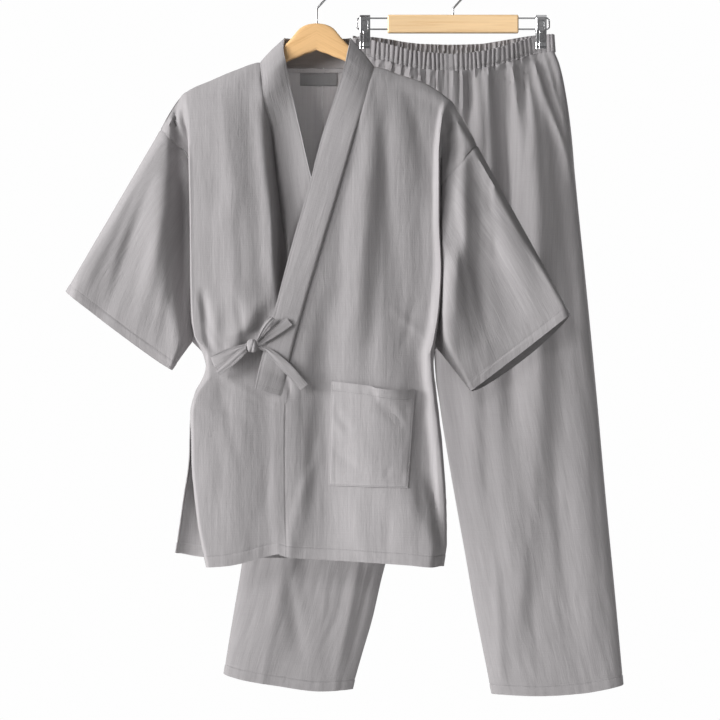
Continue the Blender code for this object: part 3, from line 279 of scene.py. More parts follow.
BACK_LINES = broad_folds(
    "160 -120 0 20 14, 240 -118 8 30 18, 380 -104 11 36 24, 520 -96 8 34 26, 640 -90 0 30 26",
    "230 -60 0 14 16, 330 -56 -7 16 20, 470 -50 -8 20 20, 600 -46 0 20 20",
    "150 126 0 14 22, 230 122 7 18 30, 360 110 8 24 34, 500 98 6 26 34, 600 92 0 26 34",
    "220 58 0 14 14, 320 56 -6 16 16, 440 50 -8 20 20, 560 44 0 20 20",
    "520 128 0 12 14, 620 138 -7 14 18, 740 142 -9 16 18, 860 146 -4 16 18, 878 148 -2 16 18",
    "540 -140 0 12 14, 640 -148 -8 14 16, 760 -156 -8 16 18, 868 -160 -4 16 18",
    "560 -96 0 20 16, 680 -104 7 24 18, 800 -112 8 26 20, 880 -116 5 26 20",
    "600 70 0 22 18, 700 74 7 26 20, 820 80 8 28 22, 880 82 6 28 22",
    "640 -26 0 18 24, 760 -22 -5 22 26, 878 -20 -5 24 28",
    "470 170 0 6 6, 520 164 -4 6 7, 560 156 0 6 7",
    "480 -172 0 6 6, 530 -164 -4 6 7, 570 -156 0 6 7",
)
SLEEVE_LINES = {
    RIGHT: broad_folds(
        # the sleeve stands out beside the armhole and falls steeply to it
        "270 -222 0 20 10, 330 -226 4 30 10, 470 -226 4 30 10, 560 -216 0 26 24",
        """262 -200 0 8 400, 300 -200 -8 8 400, 340 -200 -13 9 400, 420 -199 -13 9 400, 480 -198 -10 12 400,
           540 -196 -4 14 400, 580 -196 0 14 400""",
        # and falls away from its upper fold
        """270 -244 0 9 400, 320 -274 6 10 400, 400 -321 9 10 400, 460 -356 10 10 400, 510 -366 8 10 400,
           570 -366 0 10 400""",
        """300 -262 0 9 50, 340 -286 3 10 60, 400 -321 5 10 80, 460 -356 6 10 90, 510 -366 4 10 90,
           570 -366 0 10 90""",
        "240 -232 0 16 8, 300 -248 -3 20 10, 412 -286 -5 26 13, 502 -315 -3 26 14, 530 -322 0 26 14",
        "300 -270 0 10 8, 367 -296 2 12 8, 442 -334 3 14 9, 480 -350 1 14 9",
        "250 -222 0 6 6, 330 -262 1.5 7 6, 430 -300 2 8 7, 500 -318 0 8 7",
    ),
    LEFT: broad_folds(
        # a broad fold from the armpit, which falls away towards the sleeve's middle
        """250 222 0 12 8, 290 221 7 16 10, 330 221 15 15 11, 382 221 19 15 13, 430 216 18 24 26,
           487 210 17 30 40, 547 212 11 30 44, 605 220 0 26 46""",
        # the flat beyond it rises to the upper fold
        """280 238 0 40 9, 340 276 4 44 9, 400 308 9 50 9, 450 340 9 56 9, 500 368 11 60 9, 540 374 9 64 9,
           600 376 3 70 8""",
        "262 238 0 6 6, 330 270 1.5 9 8, 420 306 1.2 12 10, 480 330 0 14 12",
        "262 246 0 5 5, 340 290 1 6 5, 430 334 1.2 7 6, 500 366 0.6 8 6",
    ),
}
# The cloth over the armholes' seams, body and sleeve alike, and how far down it starts.
CAP_LINES = {
    RIGHT: broad_folds(
        """180 -208 0 8 3, 190 -212 4 10 3, 205 -217 7 14 3, 217 -218 9 18 4, 240 -219 13 40 6,
           262 -221 17 70 7, 292 -221 13 70 8, 340 -220 11 60 8, 400 -219 9 40 9, 470 -216 8 30 10,
           530 -208 4 18 12, 580 -200 0 18 12""",
        "182 -203 0 3.5 9, 195 -206 5 3.5 9, 215 -207 7 3.5 9, 232 -204 5 4 8, 246 -200 0 4 6",
        "192 -207 0 2.5 3, 202 -212 -4 2.5 3, 216 -212.5 -4 2.5 3, 230 -211 0 2.5 3",
    ),
    LEFT: broad_folds(
        """186 199 0 3 4, 200 206 6 4 4, 215 211 8 6 7, 232 214 12 7 7, 255 216 15 8 9, 277 212 16 7 11,
           300 204 14 6 14, 325 198 0 6 14""",
        "236 236 0 10 10, 262 242 11 10 10, 300 258 7 12 10, 340 280 0 12 10",
        "268 226 0 5 4, 290 232 -2 6 4, 320 242 -2 7 5, 350 250 0 7 5",
    ),
}
CAP_TOP = {
    RIGHT: table("x drop", """-369 462, -275.3 301.7, -234 231, -222.1 211.4, -206.6 188.4, -195 175,
        -150 150"""),
    LEFT: table("x drop", """150 160, 197 185, 209.5 200.9, 218 214, 226.7 228.9, 240 254, 280.7 327.6,
        373 494"""),
}
# The sleeve's own cloth beside the armhole's seam.
ROOT_LINES = {
    RIGHT: [],
    LEFT: broad_folds(
        "296 198 0 5 10, 325 194 12 5 10, 382 190 20 5 14, 487 189 17 5 22, 545 190 12 5 22, 590 190 0 5 15",
    ),
}


def swell(lines, x, drop):
    """How far broad folds push a surface out."""
    total = np.zeros(np.broadcast(x, drop).shape)
    for rows in lines:
        off = x - read(rows, "x", drop)
        width = np.where(off < 0, read(rows, "left", drop), read(rows, "right", drop))
        total += read(rows, "height", drop) * bell(off, width)
    return total


def cap(side, face, x, drop):
    """How far the cloth over an armhole's seam stands out; less on the back."""
    started = rise(drop, read(CAP_TOP[side], "drop", x), 17)
    return swell(CAP_LINES[side], x, drop) * started * (1 if face == FRONT else 0.7)


# How deep the front of the left sleeve and shoulder lies beside the body, across the cloth at these x, by drop.
BESIDE_AT = (188, 195, 204, 212, 219, 224, 230, 236, 245, 255, 270)
BESIDE = {
    232: (-8, -6, -6.5, -12, -16, -13, -10, -8, -6, -6, -6),
    262: (-5, -5, -8, -13.5, -18, -17.5, -15, -15, -16, -17, -17),
    292: (-13, -16, -18.5, -21, -23, -21, -17, -14.5, -14.5, -16, -18),
    322: (-16, -19, -22, -26, -28, -26, -20.5, -16.5, -15, -15.5, -19),
    352: (-22, -23.5, -26, -30, -32, -30, -24.5, -20, -17.5, -17, -18.5),
    382: (-28, -28, -29, -32, -35, -34, -29.5, -26, -23.5, -23, -23),
    412: (-33, -33, -33, -34, -35, -34, -31, -28, -24.5, -22.5, -21.5),
}
BESIDE_ACROSS, BESIDE_DOWN = 5, 20  # how far each of those depths is felt
BESIDE_X, BESIDE_DROP = (184, 258), (225, 385)  # where they begin and cease to count


def beside_body(x, drop, y):
    """The front of the left sleeve beside the body: it swells out, then falls away."""
    total, weight = 0.0, 1e-9
    for at_drop, depths in BESIDE.items():
        down = bell(drop - at_drop, BESIDE_DOWN)
        for at_x, depth in zip(BESIDE_AT, depths):
            near = down * bell(x - at_x, BESIDE_ACROSS)
            total, weight = total + near * depth, weight + near
    inside = rise(x, BESIDE_X[0], 4) * fall(x, BESIDE_X[1], 16)
    inside = inside * rise(drop, BESIDE_DROP[0], 20) * fall(drop, BESIDE_DROP[1], 60)
    inside = inside * rise(drop - read(CAP_TOP[LEFT], "drop", x), 3, 14)
    return mix(y, total / weight, inside)


def under_left(x, drop):
    """0 to 1 where the right side lies under the left front."""
    return rise(x - read(FRONT_EDGE[LEFT], "x", drop), -18, 20) * rise(drop, 330, 60)


def front_swell(side, x, drop):
    """The broad folds of a front. Under the left front, the right one follows the left one's."""
    if side == LEFT:
        return swell(FRONT_LINES[LEFT], x, drop)
    return mix(swell(FRONT_LINES[RIGHT], x, drop), swell(FRONT_LINES[LEFT], x, drop), under_left(x, drop))


def relief(folds, x, drop):
    """How far straight folds push a surface out of its plain form."""
    total = np.zeros(np.shape(x))
    for x0, d0, x1, d1, width, height in zip(*folds.values()):
        along = ((x - x0) * (x1 - x0) + (drop - d0) * (d1 - d0)) / ((x1 - x0) ** 2 + (d1 - d0) ** 2)
        along = np.clip(along, 0, 1)
        off = np.hypot(x - mix(x0, x1, along), drop - mix(d0, d1, along))
        total += height * bell(off, width) * np.sin(np.pi * along) ** 0.7
    return total


def body_y(side, face, x, drop, top_drop, top_y=0.0):
    """The body's plain form: flat over the chest and back, rounded over the shoulder."""
    full = read(BODY_DEPTH, FACES[face], drop) * (1 - SIDE_FLATTENING * (x / TIP_X[side]) ** 2)
    if (side, face) == (RIGHT, FRONT):
        full = full - LAYERS_APART * rise(x, -140, 80)
    return face * mix(top_y, full, quarter_round((drop - top_drop) / SHOULDER_ROUND))


def front_edge(side, v):
    drop = mix(FRONT_EDGE[side]["drop"][0], FRONT_EDGE[side]["drop"][-1], v)
    x = read(FRONT_EDGE[side], "x", drop)
    y = body_y(side, FRONT, x, drop, read(SHOULDER[side], "drop", x))
    out = relief(FRONT_FOLDS[side], x, drop) * rise(drop, 140, 60)
    out = out + front_swell(side, x, drop) * rise(drop, 150, 20)
    return stack(x, drop, y - out)


def fold_line(side, face, v):
    rows = FOLD_LINE[side]
    drop = mix(rows["drop"][0], rows["drop"][-1], v)
    x = read(rows, "x", drop)
    if face == BACK:  # the back's slit edge flares past the front's, and its hem is a little higher
        x = x + read(SIDE[side, BACK], "x", drop) - read(SIDE[side, FRONT], "x", drop)
        drop = mix(rows["drop"][0], read(HEM[side, BACK], "drop", x[-1]), v)
    return stack(x, drop, body_y(side, face, x, drop, rows["drop"][0]))


def armhole(side, face, v):
    """Down the armhole seam to the underarm, then down the side."""
    seam, edge = ARMHOLE[side], SIDE[side, face]
    upper = mix(seam["drop"][0], seam["drop"][-1], np.clip(v / UNDERARM, 0, 1))
    lower = mix(edge["drop"][0], edge["drop"][-1], np.clip((v - UNDERARM) / (1 - UNDERARM), 0, 1))
    above = v < UNDERARM
    x = np.where(above, read(seam, "x", upper), read(edge, "x", lower))
    y = np.where(above, read(seam, "y", upper), read(edge, "y", lower))
    return stack(x, np.where(above, upper, lower), face * np.maximum(y * np.where(above, ARMHOLE_DEPTH, 1), SEAM / 2))


def coons(first, last, top, bottom):
    """A patch between four edges: its first and last columns, its top row and its bottom row."""
    v = np.linalg.norm(first - first[:1], axis=-1) / np.linalg.norm(first[-1] - first[0])
    u = np.linalg.norm(top - top[:1], axis=-1) / np.linalg.norm(top[-1] - top[0])
    v, u = v[:, None, None], u[None, :, None]
    corners = mix(mix(top[0], top[-1], u), mix(bottom[0], bottom[-1], u), v)
    return mix(first[:, None], last[:, None], u) + mix(top[None], bottom[None], v) - corners


def turned_side(line, seam, shares, reach):
    """The cloth that turns round the upright fold and back to the armhole seam, one row for each row of the panel."""
    q = shares[None, 1:, None]
    leaving = np.zeros_like(line)
    leaving[:, 0] = reach
    arriving = seam - line
    arriving[:, 0] *= 0.6
    turned = (
        line[:, None] * (1 + 2 * q) * (1 - q) ** 2
        + seam[:, None] * q * q * (3 - 2 * q)
        + leaving[:, None] * q * (1 - q) ** 2
        - arriving[:, None] * q * q * (1 - q)
    )
    sharp = ease(q[..., 0] * 2.2) * fall(-line[:, None, 2], SHARP_TURN_END, 40)
    turned[..., 1] = mix(turned[..., 1], seam[:, None, 1], sharp)
    return turned


def shoulder_row(side, xs):
    return stack(xs, read(SHOULDER[side], "drop", xs), 0)


def hem_row(side, face, start, end, u):
    xs = mix(start, end, u)
    return stack(xs, read(HEM[side, face], "drop", xs), 0)


def front_panel(side, v, u, turned):
    """A front as a grid of points: rows from the shoulder to the hem, columns from the collar to the armhole."""
    edge, line, seam = front_edge(side, v), fold_line(side, FRONT, v), armhole(side, FRONT, v)
    edge = edge + np.array([side * SEAM * 1.1, 0, 0])
    top = shoulder_row(side, mix(edge[0, 0], TIP_X[side], u))
    bottom = hem_row(side, FRONT, edge[-1, 0], line[-1, 0], u)
    chest = coons(edge, line, top, bottom)
    x, drop = chest[..., 0], -chest[..., 2]
    plain = body_y(side, FRONT, x, drop, -top[None, :, 2])
    below_top = drop + top[None, :, 2]
    held = ease(below_top / FOLDS_START) * ease((1 - u) * 4)[None]
    side_free = fall(drop, BOW_PULL, 60) if side == RIGHT else 0  # above the bow the right side swells to its fold
    held_close = ease(below_top / 26) * mix(ease((1 - u) * 16)[None], 1, side_free)
    out = relief(FRONT_FOLDS[side], x, drop) * held + front_swell(side, x, drop) * held_close
    chest[..., 1] = np.minimum(plain - out, -WALL - SEAM)
    chest[:, 0] = edge
    chest[0, :, 1] = -SEAM / 2
    grid = np.concatenate([chest, turned_side(chest[:, -1], seam, turned, side * TURN_REACH)], axis=1)
    grid[..., 1] -= cap(side, FRONT, grid[..., 0], -grid[..., 2])
    if side == LEFT:
        grid[..., 1] = beside_body(grid[..., 0], -grid[..., 2], grid[..., 1])
    grid[0, len(u) - 1:, 2] = -read(SHOULDER[side], "drop", grid[0, len(u) - 1:, 0])
    grid[0, :, 1] = -SEAM / 2
    return grid


def back_neck(side, share):
    """The neck seam, from the back seam out to the shoulder."""
    xs = mix(BACK_SEAM["x"][0], NECK_X[side], share)
    return stack(xs, read(BACK_NECK, "drop", xs), read(BACK_NECK, "y", xs))


def neck_shares(columns):
    return np.sin(np.linspace(0, math.pi / 2, columns + 1))


def back_panel(side, v, shares, columns, turned):
    """Half of the back, from the centre seam to the armhole."""
    neck = back_neck(side, shares)
    shoulder = shoulder_row(side, mix(NECK_X[side], TIP_X[side], np.arange(1, columns + 1) / columns))
    top = np.concatenate([neck, shoulder]) + np.array([0, 0, -SEAM])
    drop = mix(-top[0, 2], read(HEM[side, BACK], "drop", 0), v)
    centre = stack(read(BACK_SEAM, "x", drop) + side * SEAM / 2, drop, 0)
    top[0, 0] = centre[0, 0]
    line, seam = fold_line(side, BACK, v), armhole(side, BACK, v)
    bottom = hem_row(side, BACK, centre[-1, 0], line[-1, 0], np.linspace(0, 1, len(top)))
    grid = coons(centre, line, top, bottom)
    x, drop = grid[..., 0], -grid[..., 2]
    plain = body_y(side, BACK, x, drop, -top[None, :, 2], top[None, :, 1])
    from_seam, to_fold = np.abs(x - grid[:, :1, 0]), np.linspace(1, 0, len(top))[None]
    held = ease((drop + top[None, :, 2]) / FOLDS_START) * ease(from_seam / 30) * ease(to_fold * 4)
    out = (relief(BACK_FOLDS, x, drop) + swell(BACK_LINES, x, drop)) * held
    grid[..., 1] = np.maximum(plain + out, WALL + SEAM)
    grid = np.concatenate([grid, turned_side(grid[:, -1], seam, turned, side * TURN_REACH)], axis=1)
    grid[..., 1] += cap(side, BACK, grid[..., 0], -grid[..., 2])
    grid[0, len(top) - 1:, 2] = -read(SHOULDER[side], "drop", grid[0, len(top) - 1:, 0])
    grid[0, len(shares) - 1:, 1] = SEAM / 2
    return grid


def sleeve(side, v, s):
    """A sleeve as a tube: rows from the armhole to the cuff, columns round it, down the front and up the back."""
    down = (v / UNDERARM) ** (1 / ROW_GROWTH)
    share, fullness = (1 - np.cos(math.pi * down)) / 2, np.sin(math.pi * down)
    rounded = np.sin(np.minimum(fullness * 3, 1) * math.pi / 2)  # 0 at the tube's two folds
    cuff = CUFF[side]
    out = s[:, None, None]
    loops = []
    for face in (FRONT, BACK):
        start = armhole(side, face, v)
        x, drop = (mix(cuff["top"][i], cuff["bottom"][i], share) for i in (0, 1))
        x, drop = x + side * cuff["bowed"] * fullness, drop + cuff["bowed"] * fullness
        if face == BACK:  # the far edge of the cuff hangs a little lower
            x = x + side * cuff["back_longer"] * fullness * 0.6
            drop = drop + cuff["back_longer"] * fullness * 0.8
        end = stack(x, drop, face * cuff["depth"] * rounded)
        start[[0, -1], 1] = end[[0, -1], 1] = 0
        start = start + (end - start) * SEAM / np.linalg.norm(end - start, axis=-1, keepdims=True)
        points = mix(start[None], end[None], out)
        points[..., 1] += face * SLEEVE_FULLNESS * rounded * (4 * out * (1 - out))[..., 0]
        x, drop = points[..., 0], -points[..., 2]
        if face == FRONT:
            broad = swell(SLEEVE_LINES[side], x, drop)
        else:
            broad = 0.8 * swell(SLEEVE_LINES[side], x + 7 * side, drop - 14)
        folds = relief(SLEEVE_FOLDS[side], x, drop) + broad
        root = swell(ROOT_LINES[side], x, drop) * ease(out[..., 0] * 43) * (1 if face == FRONT else 0.5)
        points[..., 1] += face * folds * np.minimum(fullness * 5, 1) * ease(out[..., 0] * 5)
        points[..., 1] += face * (cap(side, face, x, drop) + root)
        if (side, face) == (LEFT, FRONT):
            points[..., 1] = beside_body(x, drop, points[..., 1])
        loops.append(points)
    return np.concatenate([loops[0], loops[1][:, -2:0:-1]], axis=1)


def collar_rungs(side, v):
    """The collar's seam and free edge down one front, at the rows of that front that it reaches."""
    seam = front_edge(side, v)
    seam = seam[-seam[:, 2] < COLLAR_END[side]]
    edge = COLLAR_EDGE[side]
    x, drop, y = (read(edge, name, -seam[:, 2]) for name in ("x", "drop", "y"))
    if side == RIGHT:
        y = y + RIGHT_EDGE_IN * rise(drop, 105, 60) * (1 - 0.6 * rise(drop, 480, 100))
        y = y - under_left(x, drop) * np.minimum(swell(FRONT_LINES[LEFT], x, drop), 0)
    return seam, stack(x, drop, y)


def collar(v, shares, q):
    """One long band: up the right front, round the back of the neck and down the left front."""
    seam_right, free_right = collar_rungs(RIGHT, v)
    seam_left, free_left = collar_rungs(LEFT, v)
    seam_back = np.concatenate([back_neck(RIGHT, shares)[-2::-1], back_neck(LEFT, shares)[1:-1]])
    free_back = stack(*(read(BACK_NECK, name, seam_back[:, 0]) for name in ("edge_x", "edge_drop", "edge_y")))
    seam = np.concatenate([seam_right[::-1], seam_back, seam_left])
    free = np.concatenate([free_right[::-1], free_back, free_left])
    return mix(seam[:, None], free[:, None], q[None, :, None])


# ---------------------------------------------------------------- pocket, label, tape and ties

POCKET = dict(top_left=(22.4, 608.7), top_right=(147.2, 620.6), bottom_left=(17.5, 764.2), bottom_right=(136.3, 767.2))
POCKET_GAPE, POCKET_LIFT = 3.5, 0.6
LABEL = dict(x=(-25.5, 29.8), drop=(144.4, 163), wall=0.8)
TAPE = dict(x=(-62, 60), drop=(137.3, 143.6), wall=0.7)
RIBBON_WALL, RIBBON_LIFT = 1.0, 1.5
# The bow: each ribbon as stations along its middle, with the direction across it in x and drop.
RIBBON = "at x drop y across_x across_drop width"
BOW = {
    "tie_left_loop": table(RIBBON, """0 -103.1 556.6 -46.6 0.1 1 6, 1 -117 560.8 -45.6 0.3 0.95 10,
        2 -137 569.8 -45.2 0.4 0.9 13.5, 3 -153.6 580.2 -48.7 0.37 0.93 15.5, 4 -138 573.6 -52.2 0.4 0.9 14.5,
        5 -118 563 -52 0.4 0.9 10, 6 -103.1 556.8 -49.6 0.1 1 6"""),
    "tie_left_tail": table(RIBBON, """0 -104 560.4 -54.4 0.3 0.95 10, 1 -112 567.4 -56.2 0.55 0.84 11.8,
        2 -124.4 578.6 -56 0.6 0.8 11.8, 3 -146.4 596.4 -54.4 0.72 0.69 11"""),
    "tie_right_loop": table(RIBBON, """0 -87.3 549.3 -52.6 0 1 4, 1 -79.4 534.5 -53 0.8 0.5 7,
        2 -70.5 521.6 -53.4 0.8 0.5 9, 3 -64.5 514.7 -55.6 0.8 0.5 9, 4 -71.5 521.6 -58 0.8 0.5 9,
        5 -80.4 534.5 -57.4 0.8 0.5 7, 6 -87.3 549.3 -55.2 0 1 4"""),
    "tie_right_end": table(RIBBON, """0 -87.3 553.3 -51.4 0 1 7, 1 -66.5 538.4 -51.6 0.6 0.8 13,
        2 -53.7 529.5 -51.4 0.6 0.8 14, 3 -39.8 519.6 -50.6 0.7 0.8 14"""),
    "tie_right_tail": table(RIBBON, """0 -87.3 558.2 -49.6 0 1 6, 1 -74.4 561.2 -49.8 -0.4 0.9 6,
        2 -65.5 568.1 -50 -0.7 0.7 11, 3 -39.8 592.8 -50 -0.8 0.7 15, 4 -18.1 617.5 -46.6 -0.8 0.6 14"""),
    "tie_side_strip": table(RIBBON, """0 -155.5 578 0 0.1 1 12, 1 -137.7 571.6 0 0.1 1 12,
        2 -117.9 562.2 0 -0.1 1 10, 3 -103.1 556.2 -44.6 0.1 1 8"""),
}
KNOT = dict(x=-95.2, drop=556, y=-49.9, width=15, height=20, depth=15)

# Plain grids of the body, on which small pieces are laid.
LYING_ROWS, LYING_TURN = np.linspace(0, 1, 120), np.linspace(0, 1, 4)


def coarse_front(side):
    return front_panel(side, LYING_ROWS, np.linspace(0, 1, 40), LYING_TURN)


def coarse_back(side):
    return back_panel(side, LYING_ROWS, neck_shares(14), 14, LYING_TURN)


def y_on(grids, x, drop):
    """The y of panels, given by their grids, at places within them."""
    corners = []
    for grid in grids:
        a, b, c, d = grid[:-1, :-1], grid[:-1, 1:], grid[1:, 1:], grid[1:, :-1]
        corners += [np.stack([a, b, c], axis=2).reshape(-1, 3, 3), np.stack([a, c, d], axis=2).reshape(-1, 3, 3)]
    corners = np.concatenate(corners)
    flat = corners[..., [0, 2]]
    e1, e2 = flat[:, 1] - flat[:, 0], flat[:, 2] - flat[:, 0]
    area = e1[:, 0] * e2[:, 1] - e1[:, 1] * e2[:, 0]
    area = np.where(np.abs(area) < 1e-6, 1e-6, area)
    found = np.zeros(np.shape(x))
    for place in np.ndindex(found.shape):
        p = np.array([x[place], -drop[place]]) - flat[:, 0]
        s = (p[:, 0] * e2[:, 1] - p[:, 1] * e2[:, 0]) / area
        t = (e1[:, 0] * p[:, 1] - e1[:, 1] * p[:, 0]) / area
        nearest = int(np.argmax(np.minimum(np.minimum(s, t), 1 - s - t)))
        ys = corners[nearest, :, 1]
        found[place] = ys[0] + s[nearest] * (ys[1] - ys[0]) + t[nearest] * (ys[2] - ys[0])
    return found


def pocket_panel(rows, columns):
    u, v = np.meshgrid(columns, rows)
    corners = {name: np.array(place, float) for name, place in POCKET.items()}
    u3, v3 = u[..., None], v[..., None]
    at = mix(mix(corners["top_left"], corners["top_right"], u3),
             mix(corners["bottom_left"], corners["bottom_right"], u3), v3)
    gape = POCKET_GAPE * np.sin(math.pi * u) ** 2 * (1 - ease(v * 2.2))
    under = y_on([coarse_front(LEFT)], at[..., 0], at[..., 1])
    return stack(at[..., 0], at[..., 1], under - POCKET_LIFT - WALL - gape)


def lining_strip(box, lift, rows, columns):
    """A flat strip that lies on the inside of the back."""
    x, drop = np.meshgrid(mix(*box["x"], columns), mix(*box["drop"], rows))
    return stack(x, drop, y_on([coarse_back(RIGHT), coarse_back(LEFT)], x, drop) - WALL - lift)


def ribbon(rows, steps, q):
    at = np.linspace(rows["at"][0], rows["at"][-1], steps + 1)
    middle = stack(*(read(rows, name, at) for name in ("x", "drop", "y")))
    over = stack(read(rows, "across_x", at), read(rows, "across_drop", at), 0)
    over /= np.linalg.norm(over, axis=-1, keepdims=True)
    reach = read(rows, "width", at)[:, None, None] * (q - 0.5)[None, :, None]
    points = middle[:, None] + over[:, None] * reach
    beneath = y_on([coarse_front(RIGHT)], points[..., 0], -points[..., 2])
    points[..., 1] = np.minimum(points[..., 1], beneath - RIBBON_LIFT)
    return points


# ---------------------------------------------------------------- the trousers' cut

TROUSERS_Y = 80  # the middle plane of the trousers
CROTCH = 0.43  # share of the way from waist to hem
WAIST = dict(left=362, right=54, band=26)
WAIST_MIDDLE = 208
BAND_LEAN = 0.012  # how much wider the band's lower edge is than its upper one, as a share
GATHERS = 44
GATHER_HEIGHT = 1.5
WAIST_LINE = table("x front_drop back_drop half_depth puff", """54 86 82 0.2 0.2, 56.5 86 82 3.5 0.6,
    60 87 83 4.6 0.6, 65 87.5 83 2.4 0.3, 80 88 83.5 2.4 0.3, 88 91 84 5 0.8, 111 97 86.5 12 1, 135 104 90 18 1,
    162 109 92.4 21 1, 206 112 93.3 23 1, 248 108 92.5 21 1, 275 102 89 17 1, 303 93.5 85 10 1,
    322 86.5 82.5 4.5 0.8, 333 84 81.5 2.4 0.3, 349 81 80.5 2.4 0.3, 355 80 80 4.6 0.6, 359.5 80 80 3.5 0.6,
    362 81 80 0.2 0.2""")
CENTRE_SEAM = table("drop x", "104 197, 300 190, 480 180, 560 178")
INSEAM = {
    RIGHT: table("drop x", """560 177.5, 607 174, 668 162, 729 146, 790 131, 850 114.5, 911 98, 972 84,
        1032 66.5, 1066 57, 1079 54"""),
    LEFT: table("drop x", """560 177.5, 608 181, 638 185.6, 669 190, 730 200, 821 216, 882 227, 943 237.5,
        1005 249.7, 1066 262, 1086 266"""),
}
OUTSEAM = {
    RIGHT: table("drop x", """112 54, 140 44, 182 22, 260 -8, 334 -28, 486 -57, 638 -83, 790 -105, 885 -115,
        964 -128, 1043 -141, 1056 -143"""),
    LEFT: table("drop x", """107 362, 124 369, 166 378.5, 234 388, 292 393, 334 397, 486 412.5, 638 427,
        790 440.5, 941 455, 1072 467"""),
}
LEG_HEM = {
    RIGHT: table("x drop", "-143 1056, -114 1063.5, -64 1072, 8 1081, 54 1079"),
    LEFT: table("x drop", "266 1086, 336 1088, 403 1084, 434 1079, 467 1072"),
}
LEG_DEPTH = table("drop half_depth", "100 22, 250 28, 420 30, 600 28, 850 24, 1088 22")
# How flat a leg's face stays towards its inner and its outer edge: the power of its rounding.
INNER_POWER, OUTER_POWER = 2.5, 8
# Folds under the waistband: place across half of the waist, from the centre seam out, and how each fades.
TOP_FOLDS = table("across reach width height", """0.07 0.16 0.022 3.2, 0.16 0.22 0.026 3.6, 0.27 0.14 0.022 3.2,
    0.37 0.36 0.032 5.5, 0.49 0.20 0.024 3.8, 0.59 0.30 0.032 5.2, 0.70 0.16 0.024 3.6, 0.80 0.30 0.026 4.4,
    0.90 0.22 0.022 3.2""")
LEG_FOLDS = {
    RIGHT: table(FOLDS, "110 200 40 900 24 4, 60 200 -30 950 20 -5, 20 400 -60 1040 18 5"),
    LEFT: table(FOLDS, """235 170 290 900 18 6, 283 140 300 700 13 -9, 320 150 350 760 18 7,
        350 150 395 560 11 -4, 300 620 330 1000 20 -4, 395 480 420 1040 18 2"""),
}
LEG_LINES = {
    RIGHT: broad_folds(
        "130 150 0 8 8, 180 148 6 12 9, 300 138 4 18 12, 480 116 3 24 16, 640 90 3 24 18, 760 66 0 24 18",
        "122 118 0 7 7, 170 114 -6 9 9, 280 104 -8 10 12, 420 84 -5 12 14, 540 64 0 12 14",
        "118 84 0 8 5, 160 72 6 9 5, 250 40 6 10 6, 340 14 0 10 6",
        "116 64 0 4 5, 150 56 4 5 6, 220 36 4 6 7, 300 14 0 6 7",
        "840 -30 0 10 8, 900 -44 -2 12 8, 970 -34 -3 12 9, 1040 -24 0 12 9",
        "860 68 0 7 5, 905 60 3 8 5, 980 46 4 10 6, 1060 28 1 10 6",
        "880 88 0 4 4, 910 79 -2.5 4 4, 1000 56 -3 4 5, 1050 44 0 4 5",
        "560 20 0 14 10, 700 -6 6 18 12, 860 -40 5 20 14, 1000 -72 4 20 14, 1075 -84 2 20 14",
    ),
    LEFT: broad_folds(
        "110 226 0 6 6, 140 228 -7 8 8, 180 230 -8 9 9, 225 229 -4 9 9, 280 226 0 9 9",
        "112 250 0 6 7, 160 251 4 8 9, 220 250 5 9 10, 300 247 0 9 10",
        """108 280 0 7 5, 150 281 -7 11 7, 220 282 -7 12 9, 320 285 -8 12 10, 420 290 -6 12 12,
           520 296 0 12 12""",
        """118 326 0 14 8, 170 327 4 18 12, 250 330 8 22 14, 367 338 10 26 17, 487 332 10 34 21,
           637 326 11 36 25, 757 321 10 36 24, 877 315 8 34 24, 967 303 5 30 20, 1045 292 0 28 20""",
        "104 324 0 6 3, 143 336 6 8 4, 200 356 8 9 4, 275 382 6 9 5, 330 392 0 9 5",
        "106 346 0 4 4, 150 356 3 5 4, 210 374 3 5 5, 270 388 0 5 5",
        "104 314 0 4 4, 140 316 -4 4 4, 180 318 -4 5 5, 240 322 0 5 5",
        "104 300 0 4 4, 135 300 3 4 4, 190 302 2 5 5, 240 304 0 5 5",
        "560 236 0 14 10, 620 239 5 16 11, 720 240 5 16 12, 820 246 0 16 12",
        "430 372 0 12 12, 520 376 1 14 14, 680 384 1.2 14 14, 860 402 1 16 16, 1000 420 0 16 16",
        "480 400 0 5 5, 600 410 -0.6 6 5, 780 422 -0.8 7 6, 960 436 -0.5 7 6, 1050 442 0 7 6",
        "620 358 0 8 7, 760 362 -1.6 9 8, 900 374 -2 9 8, 1040 384 0 7 6",
        "860 268 0 6 8, 940 274 3 8 8, 1050 280 2 8 8, 1080 282 0 8 8",
    ),
}


def waist_ring(face, x):
    """Half of the waistband's plain ring: drop of its top edge and y."""
    drop = read(WAIST_LINE, "front_drop" if face == FRONT else "back_drop", x)
    return drop, TROUSERS_Y + face * read(WAIST_LINE, "half_depth", x)


